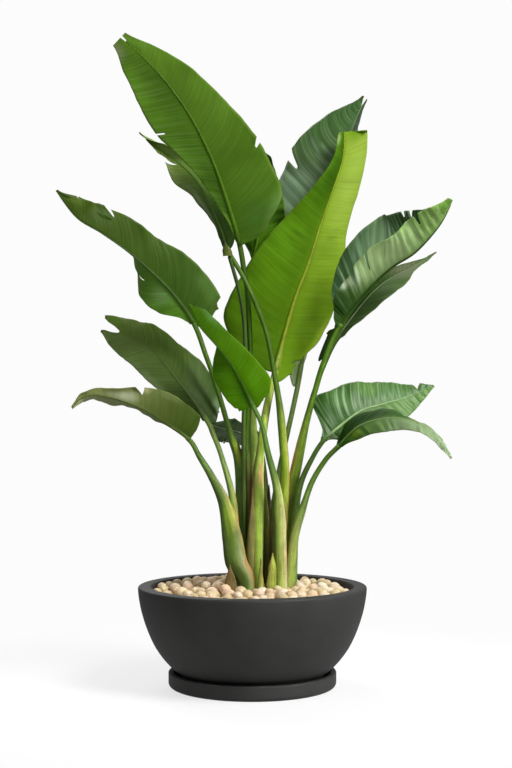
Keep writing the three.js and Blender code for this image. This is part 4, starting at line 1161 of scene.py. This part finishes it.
def make_stalk(leaf, blade, material):
    """Sheath and stalk up to the blade, in the leaf's own greens, with a painted highlight down
    their front and back and painted shade at their sides.
    """
    rings = []
    for row in range(STALK_ROWS + 1):
        place = (blade.start + STALK_INTO_BLADE) * row / STALK_ROWS
        centre = smooth_point(blade.route, place)
        along = direction(blade.route, place) if place > 1 else Vector((0, 0, 1))
        across, outward = front_frame(along)
        width = sheath_width(leaf, centre.z)
        rings.append((centre, across * width, outward * min(width, SHEATH_DEPTH)))
    low, high = all_linear(leaf["stalk_green"])
    dry_side, dry_colour, dry_width = leaf["margin"]
    dry_colour = linear(dry_colour)
    dry_angle = MARGIN_TURN if dry_side == RIGHT else math.pi - MARGIN_TURN
    sheath_top = leaf["sheath"][-1][0]
    seed = leaf["root"][0] * 1.7
    tones = all_linear(leaf.get("sheath_tone_and_shade", ()))
    sheath_patches_and_light = [sheath_mark[:4] + (linear(sheath_mark[4]), sheath_mark[5]) for sheath_mark in leaf.get("sheath_patches_and_light", ())]

    def colours(share, angle, centre):
        colour = mix(low, high, smooth_step(230, sheath_top + 80, centre.z))
        wobble = noise.noise(Vector((centre.z / BLOTCH, seed, angle)))
        # painted highlight down the front and back of the stalk, painted shade at its sides
        painted_highlight = abs(math.sin(angle - 0.15))
        colour = shaded(colour, 0.5 + 0.7 * painted_highlight ** 2 + 0.14 * wobble)
        side = min(1, max(-1, math.cos(angle) + 0.25 * wobble))
        # sheath tones: the sheath's own hues, with painted shade and painted light across it
        if tones:
            tone = mix(tones[1], tones[2 if side > 0 else 0], abs(side) ** 1.3)
            low_down = 1 - smooth_step(sheath_top - 110, sheath_top - 10, centre.z)
            colour = mix(colour, shaded(tone, 0.9 + 0.2 * painted_highlight), low_down)
        # soft patches: the sheath's own tan marks and yellow streaks, and painted light and painted
        # shade
        for height, reach, place, wide, sheath_mark, strength in sheath_patches_and_light:
            far = math.hypot((centre.z - height) / reach, (side - place) / wide)
            colour = mix(colour, sheath_mark, strength * (1 - smooth_step(0.3, 1, far)))
        away = abs((angle - dry_angle + math.pi) % (2 * math.pi) - math.pi) / (2 * math.pi)
        ragged = noise.noise(Vector((centre.z / RAGGED_EVERY, seed, 3)))
        ragged = dry_width * (1 + 0.5 * ragged)
        edge = 1 - smooth_step(0.6 * ragged, ragged, away)
        edge *= 1 - smooth_step(sheath_top - 130, sheath_top - 40, centre.z)
        return mix(colour, dry_colour, edge)

    make_tube(leaf["name"] + "_stalk", rings, colours, material, [leaf["name"]])


def make_midrib(leaf, blade, material):
    """The midrib, which stands out from the leaf's under side; one side of it is painted darker
    than the other, as painted shade and highlight.
    """
    rings = []
    way = 1 if leaf.get("shown", "under") == "under" else -1
    end = leaf.get("cleft", (RIB_END, 0))[0]
    base_radius = leaf["radius"] * RIB_BASE_SHARE
    for row in range(RIB_ROWS + 1):
        share = end * row / RIB_ROWS
        centre, _, across, facing = blade.at(share)
        radius = RIB_TIP_RADIUS + (base_radius - RIB_TIP_RADIUS) * (1 - share) ** 1.6
        rings.append((centre + facing * way * radius * RIB_STANDS_OUT, across * radius,
                      facing * radius))
    base = linear(leaf["stalk_green"][1])
    green = linear(leaf["rib_green"])

    def colours(share, angle, centre):
        # painted shade on one side of the midrib, painted highlight on the other
        shade = 1.12 - 0.5 * smooth_step(-0.3, 0.7, math.cos(angle))
        return shaded(mix(base, green, smooth_step(0, 0.12, share)), shade)

    make_tube(leaf["name"] + "_midrib", rings, colours, material, [leaf["name"]])


def make_second_stalk(material):
    """A thin dark stalk that meets the curled leaf's base from lower on the left."""
    points = [(-15, -3, 150), (-15, -3, 208), (-17, -3, 350), (-18, -3, 490), (-16, -4, 600),
              (-15, -6, 695), (-19, -8, 746), (-26, -10, 785), (-36, -10, 822), (-46, -8, 856)]
    rows = 80
    base_radius, taper = 4.6, 0.9
    rings = []
    for row in range(rows + 1):
        place = (len(points) - 1) * row / rows
        across, outward = front_frame(direction(points, place))
        radius = base_radius - taper * row / rows
        rings.append((smooth_point(points, place), across * radius, outward * radius))
    low, high = all_linear(SECOND_STALK_GREENS)

    def colours(share, angle, centre):
        # painted light on one side of the stalk, painted shade on the other
        return shaded(mix(low, high, share), 0.75 + 0.35 * math.cos(angle - 0.5))

    make_tube("leaf_curled_left_second_stalk", rings, colours, material, ())
    bract = ((-49, -12), 9, 7, 856, 888, -7, (0x6E7A2E, 0x33501A, 0x2A3A10), 3, 0.4)
    make_husk("leaf_curled_left_bract", bract, material, ())


def make_husk(name, husk, material, nodes=()):
    """A pointed sheath layer: a shell bent round its root, ragged at the top."""
    (x, y), half, depth, foot, top, lean, colours, rag, point = husk
    low, high, edge = all_linear(colours)
    bm, uv, green = leaf_sheet(HUSK_COLUMNS, HUSK_ROWS)
    spots = {}
    for vert in bm.verts:
        reach, row = vert.co.x, (vert.co.y + 1) / 2
        ragged = rag * noise.noise(Vector((reach * 2.6, x, y))) * smooth_step(0.5, 1, row)
        height = foot + (top - foot) * row * (1 - 0.3 * reach * reach) + ragged
        taper = 1 - 0.75 * smooth_step(point, 1.02, row)
        bend = math.sin(reach * HUSK_BEND) / math.sin(HUSK_BEND)
        spots[vert] = ((reach + 1) * 0.03, row * 0.5)
        dryness = smooth_step(0.6, 1, max(abs(reach), row * 0.96))
        vert[green] = mix(mix(low, high, row), edge, dryness)
        vert.co = Vector((x + lean * row * row + half * taper * bend,
                          y - depth * taper * math.cos(reach * HUSK_BEND), height)) * MM
    lay_veins(bm, uv, spots)
    bmesh.ops.recalc_face_normals(bm, faces=bm.faces)
    thicken(add_piece(bm, name, [material], nodes), HUSK_THICKNESS)


def make_shoot(material):
    """A young leaf, still rolled up, inside two open sheath layers."""
    rows = 40
    tip_height, base_radius, depth_share = 268, 8.2, 0.85
    rings = []
    for row in range(rows + 1):
        share = row / rows
        centre = Vector((38 + 2 * share, -37, HOLE_FOOT + (tip_height - HOLE_FOOT) * share))
        wide = base_radius * (1 - smooth_step(0.76, 1.03, share) * 0.94)
        rings.append((centre, Vector((wide, 0, 0)), Vector((0, -depth_share * wide, 0))))
    low, high, tip = all_linear(SHOOT_GREENS)

    def colours(share, angle, centre):
        green = mix(low, high, smooth_step(0.5, 0.9, share))
        # painted highlight down the front and back of the roll, painted shade at its sides
        shade = 0.7 + 0.45 * abs(math.sin(angle - 0.2)) ** 2
        return shaded(mix(green, tip, smooth_step(0.93, 1, share)), shade)

    make_tube("young_shoot_roll", rings, colours, material, ["young_shoot"])
    layers = [((33, -39), 6, 5, 170, 252, 3, (0x8C9440, 0xA8AC50, 0x7A5A30), 3, 0.6),
              ((42.5, -36), 4.5, 6, 170, 244, -2, (0x7E9038, 0x9CA848, 0x8A6A3A), 3, 0.6)]
    for number, husk in enumerate(layers):
        make_husk("young_shoot_layer_%d" % number, husk, material, ["young_shoot"])


def make_old_sheaths(material):
    """Dry and half dry sheaths of leaves that have gone, left standing at the foot."""
    fallen = ((-41, -42), 12, 6, 150, 246, -3, (0x7A6A40, 0x7A6C40, 0x6E5630), 6, 0.78)
    make_husk("old_sheath_husk", fallen, material, ["old_sheath"])
    standing = [((16, -36), 6.5, 6, 150, 259, 1, (0x9CA24C, 0xA8A850, 0x6A5A28), 3, 0.6),
                ((25, 2), 10, 6, 150, 428, 0, (0x2E2E0C, 0x6A7426, 0x4A4416), 6, 0.75),
                # drawn near black: an old sheath's dry brown, darkened as painted shade deep
                # between the stalks
                ((36, 6), 11, 6, 150, 402, -3, (0x1C1E06, 0x3C4010, 0x201E08), 10, 0.8),
                ((33, -12), 7, 5, 150, 330, 0, (0x30280E, 0x4A441A, 0x84703C), 10, 0.5),
                ((-3, -12), 10, 7, 150, 396, 4, (0x88824C, 0x8A8A48, 0x80683A), 8, 0.7)]
    for number, husk in enumerate(standing):
        make_husk("foot_husk_%d" % number, husk, material, ())


# The whole plant

add_camera()
add_studio()
clay = cast_fibre_clay()
make_saucer(clay)
make_pot(clay)
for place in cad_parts["soil"].material_slots:
    place.material = potting_soil()
make_pebbles(river_pebble())
stalk_skin = fleshy_stalk()
leaf_skins = dict(
    glossy=living_leaf("glossy leaf top", 0.38, 0.3, (0.86, 1.08)),
    satin=living_leaf("satin leaf top", 0.5, 0.12, (0.88, 1.07)),
    under=living_leaf("matte leaf underside", 0.6, 0.04, (0.92, 1.04)),
)
for leaf in LEAVES:
    blade = Blade(leaf)
    make_blade(leaf, blade, leaf_skins)
    make_stalk(leaf, blade, stalk_skin)
    make_midrib(leaf, blade, stalk_skin)
make_second_stalk(stalk_skin)
make_shoot(stalk_skin)
make_old_sheaths(stalk_skin)
